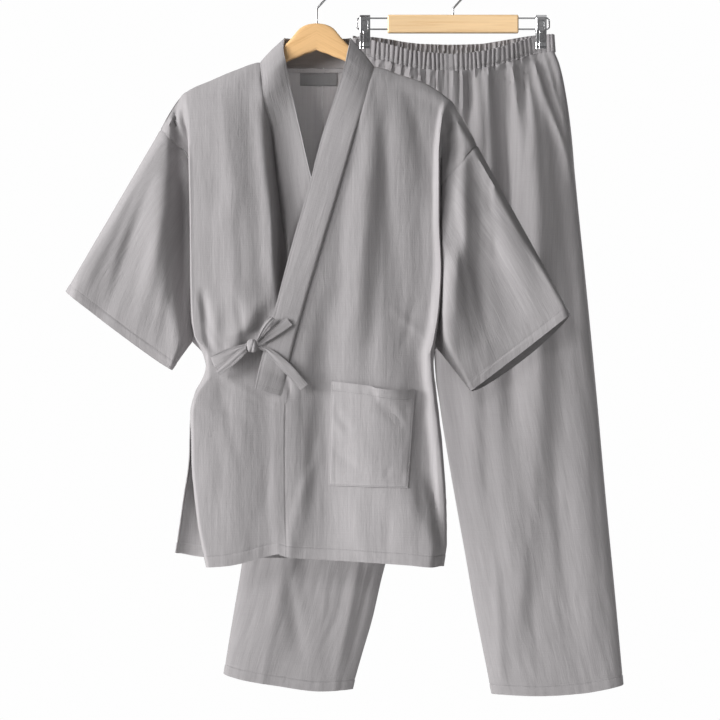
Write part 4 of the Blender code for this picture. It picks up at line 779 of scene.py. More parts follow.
def leg_panel(side, face, v, u):
    """Front or back of one leg: rows from the waistband to the hem, columns from the centre seam or inseam outward."""
    top_x = mix(CENTRE_SEAM["x"][0], WAIST[SIDES[side]], u)
    top_drop, top_y = waist_ring(face, top_x)
    top_drop = top_drop + WAIST["band"] + SEAM
    top = stack(top_x + (top_x - WAIST_MIDDLE) * BAND_LEAN, top_drop, top_y)
    inner, outer = INSEAM[side], OUTSEAM[side]
    above = v < CROTCH
    upper = mix(top_drop[0], inner["drop"][0], np.clip(v / CROTCH, 0, 1))
    lower = mix(inner["drop"][0], inner["drop"][-1], np.clip((v - CROTCH) / (1 - CROTCH), 0, 1))
    first_drop = np.where(above, upper, lower)
    first_x = np.where(above, read(CENTRE_SEAM, "x", upper), read(inner, "x", lower)) + side * SEAM * 0.8
    last_drop = mix(top_drop[-1], outer["drop"][-1], v)
    last_x = read(outer, "x", last_drop)
    first_x[0], last_x[0] = top[0, 0], top[-1, 0]
    hem_x = mix(first_x[-1], last_x[-1], u)
    bottom = stack(hem_x, read(LEG_HEM[side], "drop", hem_x), 0)
    grid = coons(stack(first_x, first_drop, 0), stack(last_x, last_drop, 0), top * np.array([1, 0, 1]), bottom)
    x, drop = grid[..., 0], -grid[..., 2]
    below_band = drop - top_drop[None]
    apart = rise(drop[:, :1], 400, 160)  # 0 where the legs are one body, 1 where each is a tube
    power = np.where(u > 0.5, OUTER_POWER, INNER_POWER)
    one_body, tube = np.sqrt(1 - u**OUTER_POWER)[None], np.sqrt(1 - np.abs(2 * u - 1) ** power)[None]
    full = read(LEG_DEPTH, "half_depth", drop) * mix(one_body, tube, apart)
    plain = mix(read(WAIST_LINE, "half_depth", top_x)[None], full, ease(below_band / 150))
    folds = np.zeros_like(plain)
    for at, reach, width, height in zip(*TOP_FOLDS.values()):
        folds += height * bell(u[None] - at, width) * (1 - ease(v[:, None] / reach))
    edges = ease(u / 0.05) * ease((1 - u) / 0.05)
    folds = folds * (read(WAIST_LINE, "puff", top_x) * edges)[None]
    if face == FRONT:
        folds += relief(LEG_FOLDS[side], x, drop) * ease(below_band / 60) * edges[None]
        folds += swell(LEG_LINES[side], x, drop) * ease(below_band / 14) * edges[None]
    else:
        mirrored = swell(LEG_LINES[-side], 2 * WAIST_MIDDLE - x, drop - 12)
        folds += mirrored * ease(below_band / 14) * edges[None] * 0.9
    grid[..., 1] = TROUSERS_Y + face * np.maximum(plain + folds, WALL + SEAM)
    grid[:, -1, 1] = grid[v >= CROTCH, 0, 1] = TROUSERS_Y + face * SEAM / 2
    return grid


# ---------------------------------------------------------------- the hangers' forms

HANGER_HALF_THICKNESS = 6.5
HANGER_CLEARANCE = 4.8
HANGER_TOP = table("x drop", "0 72, 11 73.4, 23 78.2, 38.6 95.5, 49 106.6, 62 122, 75 137")
HANGER_HEIGHT = table("x height", "0 40.4, 11 43.2, 23 43, 38.6 31.6, 49 26, 62 23.5, 90 20, 186 16")
HANGER_SQUARE = 0.42
HANGER_REACH = 186
WIRE = 1.6  # radius of the hooks' wire
HOOK_ROUND, BAR_HOOK_ROUND = 21, 17
BAR = dict(x=(107, 307), drop=(50.3, 78.3), depth=12, bevel=2.4)
BAR_WIRE = 1.2
BAR_WIRE_DROPS = (55.3, 72.1)
BAR_WIRE_ENDS = dict(right=60.7, left=353.9)
BAR_WIRE_CORNER = 4
CLIP_WALL = 1.2
CLIPS = {"right": 72.6, "left": 341.4}
SPRING_RADIUS = (BAR_WIRE_DROPS[1] - BAR_WIRE_DROPS[0]) / 2 - BAR_WIRE - SEAM


def blunt(turn):
    """A circle's sine or cosine squared up, for a flat-faced section with rounded corners."""
    return np.sign(turn) * np.abs(turn) ** HANGER_SQUARE


def hanger_sections(count, around):
    """Sections of the wooden hanger from its right tip to its left one, following the shoulders of the jacket."""
    angles = 2 * math.pi * np.arange(around) / around
    rings = []
    for x in HANGER_REACH * np.sin(np.linspace(-math.pi / 2, math.pi / 2, 2 * count + 1)):
        side = LEFT if x >= 0 else RIGHT
        shoulder = float(read(SHOULDER[side], "drop", x)) + WALL + HANGER_CLEARANCE
        top = float(read(HANGER_TOP, "drop", abs(x)))
        if abs(x) > 75:
            top = mix(top, shoulder, float(rise(abs(x), 75, 20)))
        tall = float(read(HANGER_HEIGHT, "height", abs(x)))
        tip = math.sqrt(max(0.08, 1 - (abs(x) / (HANGER_REACH + 1)) ** 16))
        y = HANGER_HALF_THICKNESS * tip * blunt(np.cos(angles))
        z = tall / 2 * blunt(np.sin(angles))
        rings.append(np.stack([np.full(around, x), y, z - top - tall / 2], axis=-1))
    return np.array(rings)


def hook_path(x, y, foot_drop, radius, steps=60):
    """A hanger hook: straight stem, a bend out to the side, then most of a circle over the rail, at drop 0."""
    centre = radius - WIRE
    bend = centre + radius * math.sqrt(2)
    points = [(x, y, -foot_drop), (x, y, -(mix(foot_drop, bend, 0.7))), (x + 0.4, y, -(bend + 0.6))]
    turn = np.radians(np.linspace(-45, 190, steps))
    return points + [(x + radius * math.cos(a), y, -centre + radius * math.sin(a)) for a in turn]


def end_wire_path(end_x, bar_x, y, steps=12):
    """One end of the clip hanger's wire: out along the top, round the corners and back along the bottom."""
    upper, lower = BAR_WIRE_DROPS
    out = 1 if end_x > bar_x else -1
    half_way = mix(bar_x, end_x, 0.5)
    turn = np.radians(np.linspace(90, 0, steps))
    corner = [(end_x - out * BAR_WIRE_CORNER * (1 - math.cos(a)), BAR_WIRE_CORNER * (1 - math.sin(a))) for a in turn]
    points = [(bar_x, y, -upper), (half_way, y, -upper)]
    points += [(x, y, -upper - down) for x, down in corner] + [(x, y, -lower + up) for x, up in corner[::-1]]
    return points + [(half_way, y, -lower), (bar_x, y, -lower)]


def clip_plate(face, middle_x):
    """One jaw of a clip: wide apart at the wires, closed on the waistband below, thicker along its two ribs."""
    jaw = table("drop y", f"52 9.6, 55 {SPRING_RADIUS + 0.5}, 73 {SPRING_RADIUS + 0.3}, 86 5, 95 3.3, 102 3.2")
    drops = np.array([52, 55, 63, 73, 79, 86, 92, 97, 102.0])
    xs = np.array([-8, -7, -3.2, -2.4, 2.4, 3.2, 7, 8.0])
    ribs = np.array([-0.7, 0, 0, 0.6, 0.6, 0, 0, -0.7])
    x, drop = np.meshgrid(middle_x + xs, drops)
    lifts = np.where((drops > 77)[:, None], ribs[None], np.minimum(ribs, 0)[None])
    return stack(x, drop, TROUSERS_Y + face * (read(jaw, "y", drop) + CLIP_WALL + lifts))


# ---------------------------------------------------------------- fine grids

STEP = 4.2  # spacing of the cloth's points
# Lengths that the grids are laid out for.
JACKET_LENGTH, LEG_LENGTH, SLEEVE_LENGTH = 735, 960, 230
FRONT_WIDTH, LEG_WIDTH, COLLAR_WIDTH, POCKET_WIDTH, POCKET_LENGTH = 245, 200, 45, 125, 152
# Depths of the turned-in hems.
HEM_DEPTH, CUFF_HEM, LEG_HEM_DEPTH, EDGE_HEM, SLIT_HEM, COLLAR_END_HEM = 17, 13, 15, 11, 12, 6
SLIT_TOP = 600  # drop
BAND_STITCH, COLLAR_STITCH, INSEAM_STITCH, BACK_STITCH, RIBBON_STITCH = 3.5, 2.5, 3.5, 4.5, 1.3
STITCH_LENGTH, STITCH_EVERY, STITCH_LIFT, THREAD = 2.3, 3.1, 0.12, 0.28
BESIDE_STITCHES = np.array([-1.7, -0.8, 0, 0.8, 1.7])  # where points lie across a line of stitches
LATTICE = 64  # cells of noise before it repeats
INNER_SHARE = 0.85  # how much of the outer face's detail the inner face takes up


def lengths(grid, axis):
    """How far each point lies along its row or column from the first one."""
    step = np.linalg.norm(np.diff(grid, axis=axis), axis=-1)
    start = np.zeros_like(np.take(step, [0], axis=axis))
    return np.concatenate([start, np.cumsum(step, axis=axis)], axis=axis)


def spread(grid):
    """Of each point: x, drop, and the cloth's length to it from the first and last column and from top and bottom."""
    over, down = lengths(grid, 1), lengths(grid, 0)
    return grid[..., 0], -grid[..., 2], over, over[:, -1:] - over, down, down[-1:] - down


def places(length, lines=(), step=STEP):
    """Shares of a length: even steps, with closer ones at each line of stitches."""
    at = np.linspace(0, length, max(3, round(length / step)) + 1)
    for line in lines:
        clear = (np.abs(at - line) > 2.2) | (at == 0) | (at == length)
        at = np.concatenate([at[clear], line + BESIDE_STITCHES])
    return np.unique(np.clip(at, 0, length)) / length


def noise(u, v, size_u, size_v, seed):
    """Smooth value noise from -1 to 1 over a surface, with cells of that size in millimetres."""
    lattice = np.random.default_rng(seed).uniform(-1, 1, (LATTICE, LATTICE))
    a, b = u / size_u + 17.3, v / size_v + 9.1
    i, j = np.floor(a).astype(int), np.floor(b).astype(int)
    s, t = ease(a - i), ease(b - j)
    i, next_i = i % LATTICE, (i + 1) % LATTICE
    near, far = (mix(lattice[i, row % LATTICE], lattice[next_i, row % LATTICE], s) for row in (j, j + 1))
    return mix(near, far, t)


def crumple(u, v, seed, strength=1.0):
    """The soft unevenness of washed cotton and linen: long along the grain v, short across it."""
    bent = u + 9 * noise(u, v, 70, 120, seed + 7)
    soft = 0.75 * noise(bent, v, 38, 170, seed)
    small = 0.32 * noise(bent, v, 15, 60, seed + 1) + 0.12 * noise(bent, v, 6.5, 30, seed + 2)
    sharp = 0.55 * (np.abs(noise(bent, v, 26, 95, seed + 3)) - 0.4)
    return strength * (soft + small + sharp)


def line_dip(away, depth=0.45, width=1.0):
    """The groove that a line of stitches pulls into the cloth."""
    return -depth * bell(away, width)


def hem_band(away, along, depth, seed, raised=0.45):
    """A turned-in band along an edge: thicker, stitched at its inner side, with small puckers between the stitches."""
    inside = fall(away - depth, -1.5, 2.5)
    puckers = 0.34 * noise(along, away, 7, 40, seed) * bell(away - depth * 0.75, depth * 0.55)
    beyond = 0.22 * noise(along, away, 11, 30, seed + 1) * bell(away - depth, 12)
    return raised * inside + puckers + beyond + line_dip(away - depth)


def seam_ridge(away, height=0.4):
    """The cloth beside a sewn seam, raised by the turned-in edges under it."""
    return height * ease(away / 1.2) * fall(away, 6, 4)


def with_rows(shares, length, extra, apart=1.1):
    """The shares and the extra ones, given in millimetres, without any other closer to those than apart."""
    extra = np.asarray(extra, float)
    clear = np.abs(shares[:, None] * length - extra[None]).min(axis=1) > apart
    return np.sort(np.concatenate([shares[clear], extra / length]))


JACKET_ROWS = with_rows(places(JACKET_LENGTH, [JACKET_LENGTH - HEM_DEPTH]), JACKET_LENGTH,
                        [0, 0.5, 1.2, 2.2, 3.4, UNDERARM * JACKET_LENGTH])
LEG_ROWS = with_rows(places(LEG_LENGTH, [LEG_LENGTH - LEG_HEM_DEPTH]), LEG_LENGTH,
                     [0, 0.7, 1.5, 2.6, CROTCH * LEG_LENGTH])
TURN = np.linspace(0, 1, 13)  # the steps in which the body's cloth turns back to the armhole


# ---------------------------------------------------------------- finishes

YARN = 0.00075  # pitch of the weave, in metres


def shader_of(name, colour, roughness, **inputs):
    """A new material with the constants set on its own shader. Returns the material and that shader."""
    made = bpy.data.materials.new(name)
    made.use_nodes = True
    shader = made.node_tree.nodes["Principled BSDF"]
    shader.inputs["Base Color"].default_value = (*colour, 1)
    shader.inputs["Roughness"].default_value = roughness
    for key, value in inputs.items():
        shader.inputs[key.replace("_", " ")].default_value = value
    return made, shader


def tinted(colour, share):
    return tuple(min(1, c * share) for c in colour)


class Graph:
    """Short calls for the nodes that a finish is made of."""

    def __init__(self, made):
        self.nodes, self.links = made.node_tree.nodes, made.node_tree.links

    def add(self, kind, inputs, **settings):
        """A new node with its inputs set, or linked where they are given as sockets."""
        node = self.nodes.new("ShaderNode" + kind)
        for key, value in settings.items():
            setattr(node, key, value)
        for key, value in inputs.items():
            if isinstance(value, bpy.types.NodeSocket):
                self.links.new(value, node.inputs[key])
            else:
                node.inputs[key].default_value = value
        return node

    def cut(self):
        return self.add("UVMap", {}, uv_map="cut").outputs["UV"]

    def object(self):
        return self.add("TexCoord", {}).outputs["Object"]

    def scaled(self, vector, scale, rotation=(0, 0, 0), location=(0, 0, 0)):
        inputs = {"Vector": vector, "Scale": scale, "Rotation": rotation, "Location": location}
        return self.add("Mapping", inputs).outputs["Vector"]

    def noise(self, vector, detail=2.0, roughness=0.5, distortion=0.0):
        inputs = {"Vector": vector, "Scale": 1, "Detail": detail, "Roughness": roughness, "Distortion": distortion}
        return self.add("TexNoise", inputs).outputs["Fac"]

    def math(self, operation, a, b=0.0, c=0.0):
        return self.add("Math", {0: a, 1: b, 2: c}, operation=operation).outputs["Value"]

    def split(self, vector):
        return self.add("SeparateXYZ", {"Vector": vector}).outputs

    def ramp(self, value, stops):
        node = self.add("ValToRGB", {"Fac": value})
        elements = node.color_ramp.elements
        while len(elements) < len(stops):
            elements.new(0.5)
        for element, (place, colour) in zip(elements, stops):
            element.position, element.color = place, (*colour, 1)
        return node.outputs["Color"]

    def bump(self, height, distance, strength=1.0, over=None):
        inputs = {"Height": height, "Distance": distance, "Strength": strength}
        if over is not None:
            inputs["Normal"] = over
        return self.add("Bump", inputs).outputs["Normal"]


def woven(name, colour, contrast=1.0, yarn=YARN, on_cut=True, creased=1.0):
    """Plain-woven cotton and linen: slubs along both yarns, the weave's own relief and a faint mottle."""
    made, shader = shader_of(name, colour, 0.92, Sheen_Weight=0.12, Sheen_Roughness=0.55, Specular_IOR_Level=0.2)
    g = Graph(made)
    cut = g.cut() if on_cut else g.object()
    warp = g.noise(g.scaled(cut, (950, 13, 1)), 3, 0.6)
    broad = g.noise(g.scaled(cut, (210, 5.5, 1), location=(3, 7, 0)), 2, 0.55)
    weft = g.noise(g.scaled(cut, (18, 820, 1), location=(5, 2, 0)), 3, 0.6)
    mottle = g.noise(g.scaled(cut, (26, 9, 1), location=(1, 4, 0)), 3, 0.6)
    total = g.math("MULTIPLY_ADD", warp, 0.40, g.math("MULTIPLY", weft, 0.12))
    total = g.math("ADD", total, g.math("MULTIPLY_ADD", broad, 0.24, g.math("MULTIPLY", mottle, 0.18)))
    spread_of_tones = 0.204 * contrast
    dark, light = tinted(colour, 1 - spread_of_tones), tinted(colour, 1 + spread_of_tones)
    g.links.new(g.ramp(total, [(0.23, dark), (0.47, colour), (0.71, light)]), shader.inputs["Base Color"])
    u, v, _ = g.split(g.scaled(cut, (math.pi / yarn, math.pi / yarn, 1)))
    over = g.math("MULTIPLY", g.math("SINE", u), g.math("SINE", v))
    ends, picks = (g.math("ABSOLUTE", g.math("SINE", g.math("MULTIPLY", way, 0.5))) for way in (u, v))
    weave = g.math("MULTIPLY_ADD", over, 0.35, g.math("ADD", ends, picks))
    creases = g.noise(g.scaled(cut, (130, 24, 1), rotation=(0, 0, 0.06), location=(2, 9, 0)), 4, 0.6, 0.4)
    weave_bump = g.bump(weave, 0.00008, 0.6, g.bump(creases, 0.0009 * creased, 0.8))
    slub = g.math("ADD", g.math("MULTIPLY", warp, 1.2), weft)
    g.links.new(g.bump(slub, 0.00022, 0.9, weave_bump), shader.inputs["Normal"])
    return made


def wood(name, colour, dark, joint=False):
    """Clear-lacquered wood: fine fibre along x, growth rings, and with a joint, rings that meet in chevrons at x 0."""
    made, shader = shader_of(name, colour, 0.38, Coat_Weight=0.35, Coat_Roughness=0.22)
    g = Graph(made)
    place = g.object()
    x, y, z = g.split(place)
    across = g.math("MULTIPLY_ADD", g.math("ABSOLUTE", x), 0.55, z) if joint else z
    stretched = {i: g.math("MULTIPLY", way, by) for i, (way, by) in enumerate(((x, 9.0), (y, 160.0), (across, 260.0)))}
    rings = g.noise(g.add("CombineXYZ", stretched).outputs[0], 2, 0.5, 0.6)
    fibre = g.noise(g.scaled(place, (60, 2200, 2200)), 3, 0.6)
    total = g.math("MULTIPLY_ADD", rings, 0.7, g.math("MULTIPLY", fibre, 0.3))
    tone = g.ramp(total, [(0.30, dark), (0.47, colour), (0.62, tinted(colour, 1.06)), (0.72, dark)])
    g.links.new(tone, shader.inputs["Base Color"])
    g.links.new(g.bump(fibre, 0.00006, 0.5), shader.inputs["Normal"])
    return made


def plated(name):
    """Bright plated steel with faint drawing marks."""
    made, shader = shader_of(name, (0.62, 0.62, 0.63), 0.22, Metallic=1.0)
    g = Graph(made)
    marks = g.noise(g.scaled(g.object(), (900, 900, 900)), 3, 0.7)
    g.links.new(g.ramp(marks, [(0.3, (0.50, 0.50, 0.515)), (0.7, (0.70, 0.70, 0.71))]), shader.inputs["Base Color"])
    g.links.new(g.bump(marks, 0.00003, 0.5), shader.inputs["Normal"])
    return made


def thread(name, colour):
    made, shader = shader_of(name, colour, 0.75, Sheen_Weight=0.2, Sheen_Roughness=0.4)
    g = Graph(made)
    twist = g.noise(g.scaled(g.object(), (3000, 3000, 3000)), 2, 0.5)
    tone = g.ramp(twist, [(0.3, tinted(colour, 0.85)), (0.7, tinted(colour, 1.12))])
    g.links.new(tone, shader.inputs["Base Color"])
    return made


GREY = (0.335, 0.320, 0.326)
CLOTH = woven("cloth", GREY)
BAND_CLOTH = woven("band_cloth", GREY, 0.9)
POCKET_CLOTH = woven("pocket_cloth", tinted(GREY, 1.04))
LABEL_CLOTH = woven("label_cloth", (0.17, 0.167, 0.17), 0.6, 0.00045, creased=0.3)
TAPE_CLOTH = woven("tape_cloth", tinted(GREY, 0.86), 0.7)
KNOT_CLOTH = woven("knot_cloth", GREY, 0.9, on_cut=False)
THREAD_FINISH = thread("thread", (0.29, 0.28, 0.285))
HANGER_WOOD = wood("hanger_wood", (0.80, 0.50, 0.235), (0.66, 0.37, 0.145), joint=True)
BAR_WOOD = wood("bar_wood", (0.90, 0.635, 0.36), (0.80, 0.51, 0.25))
STEEL = plated("steel")


# ---------------------------------------------------------------- meshes

SHARP = math.radians(55)  # edges that turn more than this are shaded sharp


def normals_of(grid, wrap):
    """Unit normals of a grid of points."""
    if wrap:
        over = np.roll(grid, -1, axis=1) - np.roll(grid, 1, axis=1)
    else:
        over = np.gradient(grid, axis=1)
    normal = np.cross(np.gradient(grid, axis=0), over)
    return normal / np.maximum(np.linalg.norm(normal, axis=-1, keepdims=True), 1e-9)


def quads(index):
    return np.stack([index[:-1, :-1], index[:-1, 1:], index[1:, 1:], index[1:, :-1]], axis=-1).reshape(-1, 4)


def add_mesh(name, vertices, faces, finish, cut=None):
    """An object that rides on the one body. cut gives the corners' places on the flat cloth, in metres."""
    vertices, faces = np.asarray(vertices, float), np.asarray(faces)
    a, b, c = (vertices[faces[:, i]] for i in range(3))
    volume = np.einsum("ij,ij->i", a, np.cross(b, c)).sum()
    if faces.shape[1] == 4:
        volume += np.einsum("ij,ij->i", a, np.cross(c, vertices[faces[:, 3]])).sum()
    if volume < 0:
        faces = faces[:, ::-1]
        cut = None if cut is None else cut[:, ::-1]
    mesh = bpy.data.meshes.new(name)
    mesh.from_pydata((vertices * MM).tolist(), [], faces.tolist())
    if cut is not None:
        mesh.uv_layers.new(name="cut").data.foreach_set("uv", np.ascontiguousarray(cut, float).ravel())
    mesh.polygons.foreach_set("use_smooth", [True] * len(mesh.polygons))
    mesh.set_sharp_from_angle(angle=SHARP)
    return place(bpy.data.objects.new(name, mesh), finish)


def place(obj, finish):
    obj.data.materials.append(finish)
    bpy.context.scene.collection.objects.link(obj)
    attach(obj, "root")
    return obj


def dress(obj, node, slot):
    """Hides the solid that an object stands for. slot, the finish of the record that it wears, is not used."""
    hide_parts(node)
    return obj


def cloth(name, grid, cut, detail, inward=None, thickness=WALL, wrap=False, kept=None, limit=None, finish=CLOTH):
    """A thin closed shell: the grid with its detail pushed out, and an inner face a thickness further in.

    cut is the pair of each point's places on the flat cloth. inward, kept and limit work as they do for the solid that
    it replaces. Returns the object, and the surface: its outer points and their normals.
    """
    normal = normals_of(grid, wrap)
    middle = grid.mean(axis=1, keepdims=True) if wrap else np.array([inward[0], inward[1], -inward[2]], float)
    if (normal * (middle - grid)).sum() < 0:
        normal = -normal
    borders = {"top": np.s_[0], "bottom": np.s_[-1], "first": np.s_[:, 0], "last": np.s_[:, -1]}
    for border, axes in (kept or {}).items():
        flat = normal[borders[border]] * axes
        normal[borders[border]] = flat / np.maximum(np.linalg.norm(flat, axis=-1, keepdims=True), 1e-6)
    outer = grid - normal * detail[..., None]
    inner = grid + normal * (thickness - INNER_SHARE * detail[..., None])
    if wrap:
        limit = np.sign(grid[..., 1]), 0
    if limit:
        face, plane = limit
        for points in (outer, inner):
            points[..., 1] = face * np.maximum(face * (points[..., 1] - plane), SEAM / 2) + plane
    index = np.arange(grid[..., 0].size).reshape(grid.shape[:2])
    if wrap:
        index = np.concatenate([index, index[:, :1]], axis=1)
    cut = np.stack(cut, axis=-1)
    on_cut = np.arange(cut[..., 0].size).reshape(cut.shape[:2])
    rims = [(index[0], on_cut[0]), (index[-1][::-1], on_cut[-1][::-1])]
    if not wrap:
        rims += [(index[:, 0][::-1], on_cut[:, 0][::-1]), (index[:, -1], on_cut[:, -1])]
    count = grid[..., 0].size
    faces, corners = [quads(index), quads(index)[:, ::-1] + count], [quads(on_cut), quads(on_cut)[:, ::-1]]
    for rim, rim_cut in rims:
        faces.append(np.stack([rim[1:], rim[:-1], rim[:-1] + count, rim[1:] + count], axis=-1))
        corners.append(np.stack([rim_cut[1:], rim_cut[:-1], rim_cut[:-1], rim_cut[1:]], axis=-1))
    vertices = np.concatenate([outer.reshape(-1, 3), inner.reshape(-1, 3)])
    flat = cut.reshape(-1, 2)[np.concatenate(corners)] * MM
    return add_mesh(name, vertices, np.concatenate(faces), finish, flat), (outer, -normal)


def solid_of_rings(name, rings, finish):
    """A closed solid through rings of points, each end closed by a fan of triangles."""
    count, around = rings.shape[:2]
    index = np.arange(count * around).reshape(count, around)
    closed = np.concatenate([index, index[:, :1]], axis=1)
    faces = quads(closed)
    fans = [np.stack([rim[1:], rim[:-1], np.full(around, count * around + i)], axis=-1)
            for i, rim in enumerate((closed[0], closed[-1, ::-1]))]
    vertices = np.concatenate([rings.reshape(-1, 3), rings[[0, -1]].mean(axis=1)])
    return add_mesh(name, vertices, np.concatenate([faces[:, [0, 1, 2]], faces[:, [0, 2, 3]], *fans]), finish)


def wire(name, points, radius, node):
    """A round wire through points."""
    curve = bpy.data.curves.new(name, "CURVE")
    curve.dimensions = "3D"
    curve.bevel_depth, curve.bevel_resolution = radius * MM, 5
    curve.use_fill_caps = True
    spline = curve.splines.new("POLY")
    spline.points.add(len(points) - 1)
    for point, at in zip(spline.points, points):
        point.co = (*(c * MM for c in at), 1)
    dress(place(bpy.data.objects.new(name, curve), STEEL), node, "steel")


# ---------------------------------------------------------------- stitches

STITCH_ROWS = {"jacket": [], "trousers": []}  # each row: the points along it, and the cloth's normals there


def level_line(surface, field, level, axis):
    """The line on a surface where a field that rises or falls steadily along an axis has one value."""
    points, normals = surface
    if axis == 1:
        points, normals, field = (a.swapaxes(0, 1) for a in (points, normals, field))
    line = []
    for column in range(points.shape[1]):
        order = np.argsort(field[:, column])
        both = np.concatenate([points[order, column], normals[order, column]], axis=-1)
        line.append([np.interp(level, field[order, column], values) for values in both.T])
    return np.array(line)[:, :3], np.array(line)[:, 3:]


def stitch(garment, surface, field, level, axis=0, start=0, stop=None, below=None, closed=False):
    """Sews a row along the line where a field has a value: part of it, or only what lies below a drop."""
    points, normals = level_line(surface, field, level, axis)
    if below is not None:
        on = np.flatnonzero(-points[:, 2] > below)
        start, stop = on[0], on[-1]
    if closed:
        points, normals = (np.concatenate([row, row[:1]]) for row in (points, normals))
    STITCH_ROWS[garment].append((points[start:stop], normals[start:stop]))


def sampled(values, run, at):
    """Rows of values, given along a run, read at other places on it."""
    return np.stack([np.interp(at, run, values[:, k]) for k in range(3)], axis=-1)


def unit(vectors):
    return vectors / np.maximum(np.linalg.norm(vectors, axis=-1, keepdims=True), 1e-6)


def stitches(name, rows):
    """Short threads laid in rows on the cloth: each a small bar, sunk at both ends."""
    block = np.array([(s, a, h) for s in (-1, -0.6, 0.6, 1) for a, h in ((-1, 0), (0, 1), (1, 0), (0, -1))], float)
    at_end = np.abs(block[:, 0]) == 1
    block[:, 2] = np.where(at_end, block[:, 2] * 0.4 - 0.9, block[:, 2])
    block[:, 1] = np.where(at_end, block[:, 1] * 0.6, block[:, 1])
    block *= (STITCH_LENGTH / 2, THREAD, THREAD)
    ring = np.arange(len(block)).reshape(4, 4)
    pattern = np.concatenate([quads(np.concatenate([ring, ring[:, :1]], axis=1)), [[0, 1, 2, 3], [15, 14, 13, 12]]])
    vertices, faces, made = [], [], 0
    for points, normals in rows:
        run = np.concatenate([[0], np.cumsum(np.linalg.norm(np.diff(points, axis=0), axis=-1))])
        at = np.arange(STITCH_EVERY, run[-1] - STITCH_EVERY / 2, STITCH_EVERY)
        normal = unit(sampled(normals, run, at))
        along = unit(sampled(points, run, at + STITCH_LENGTH / 2) - sampled(points, run, at - STITCH_LENGTH / 2))
        axes = np.stack([along, np.cross(along, normal), normal], axis=1)
        middle = sampled(points, run, at) + normal * STITCH_LIFT
        vertices.append((middle[:, None] + block @ axes).reshape(-1, 3))
        first = made + np.arange(len(at)) * len(block)
        faces.append((pattern[None] + first[:, None, None]).reshape(-1, 4))
        made += len(at) * len(block)
    return add_mesh(name, np.concatenate(vertices), np.concatenate(faces), THREAD_FINISH)


# ---------------------------------------------------------------- the jacket

# The cut of each piece, in metres: width and length of the cloth round it, and its area. The collar, the ties and the
# bands are given as they show, one face of each; the turned-in hems are not counted.
CUTS = {
    "front_right": ((0.274, 0.779), 0.155), "front_left": ((0.289, 0.762), 0.173),
    "back_right": ((0.295, 0.760), 0.165), "back_left": ((0.292, 0.752), 0.155),
    "sleeve_right": ((0.688, 0.287), 0.099), "sleeve_left": ((0.668, 0.294), 0.110),
    "collar": ((0.073, 1.228), 0.062), "pocket": ((0.133, 0.156), 0.0188),
    "neck_tape": ((0.123, 0.010), 0.0008), "neck_label": ((0.055, 0.019), 0.00104),
    "tie_left_loop": ((0.016, 0.115), 0.0014), "tie_left_tail": ((0.012, 0.058), 0.0006),
    "tie_right_loop": ((0.010, 0.088), 0.0007), "tie_right_end": ((0.014, 0.061), 0.0007),
    "tie_right_tail": ((0.015, 0.097), 0.0012), "tie_side_strip": ((0.012, 0.064), 0.0007),
    "waistband_front": ((0.466, 0.027), 0.0116), "waistband_back": ((0.463, 0.027), 0.0116),
    "leg_right_front": ((0.274, 0.975), 0.231), "leg_left_front": ((0.278, 0.981), 0.240),
    "leg_right_back": ((0.276, 0.983), 0.234), "leg_left_back": ((0.267, 0.983), 0.232),
}

# Where each piece's random draws start.
SEEDS = {
    "front_right": 10, "front_left": 30, "back_right": 50, "back_left": 70, "sleeve_right": 90, "sleeve_left": 110,
    "collar": 130, "pocket": 150, "neck": 160, "ties": 170, "waistband": 200, "gathers": 301,
    "leg_right_front": 220, "leg_left_front": 240, "leg_right_back": 260, "leg_left_back": 280,
}

IN_PLANE, NO_X = np.array([1, 0, 1.0]), np.array([0, 1, 1.0])  # the axes that a border's normals keep
INSIDE_JACKET, INSIDE_COLLAR, BEFORE_BACK = (0, 0, 500), (0, 0, 300), (0, -500, 150)
ON_HANGER = ["hanger_wood"]
BACK_CUT = 400  # how far the backs lie from the fronts on the flat cloth, so that no slub runs on into them
POCKET_CUT = 45  # and the pocket from the front under it

# Creases finer than the solids' own folds, and where they run. The columns are those of the fold tables.
FRONT_CREASES = {
    RIGHT: table(FOLDS, """-75 180 -68 420 7 -1.2, -95 165 -80 330 8 0.8, -150 200 -160 520 7 -0.5,
        -175 260 -178 470 6 0.4, -150 560 -60 520 5 -1.6, -160 585 -80 640 5 1.4, -150 590 -105 760 7 -0.8,
        -130 600 -160 800 8 0.7, -110 600 -125 740 5 -0.6, -120 480 -105 560 6 -1.6, -30 470 -90 550 5 1.3,
        -172 470 -150 570 6 -1.8, -168 520 -140 572 5 1.5"""),
    LEFT: table(FOLDS, """84 145 76 520 8 -0.8, 112 160 118 500 7 0.6, 150 170 158 420 8 -0.6,
        172 300 168 500 6 0.6, 40 330 34 590 9 -0.9, 100 300 96 600 7 0.5, 150 480 130 560 6 -1.2,
        165 545 110 500 6 1.3, -20 600 -30 850 6 -1.4, 8 640 4 860 7 1.2, 150 640 160 860 8 -1.5,
        172 600 150 700 6 -1.3, 60 780 66 872 9 1.2, 110 790 104 875 8 -1.2"""),
}
SLEEVE_CREASES = {
    RIGHT: table(FOLDS, """-250 240 -330 420 8 -0.7, -225 300 -290 500 7 0.6, -300 330 -355 450 9 0.7,
        -220 360 -245 520 6 -0.7, -260 300 -300 400 6 -0.5, -220 440 -250 570 7 0.8"""),
    LEFT: table(FOLDS, """250 270 350 440 9 -1.4, 228 300 300 460 7 1.3, 300 350 360 480 8 1.2,
        205 330 232 540 6 -1.6, 265 330 310 430 6 -0.9, 215 400 262 590 7 1.4"""),
}
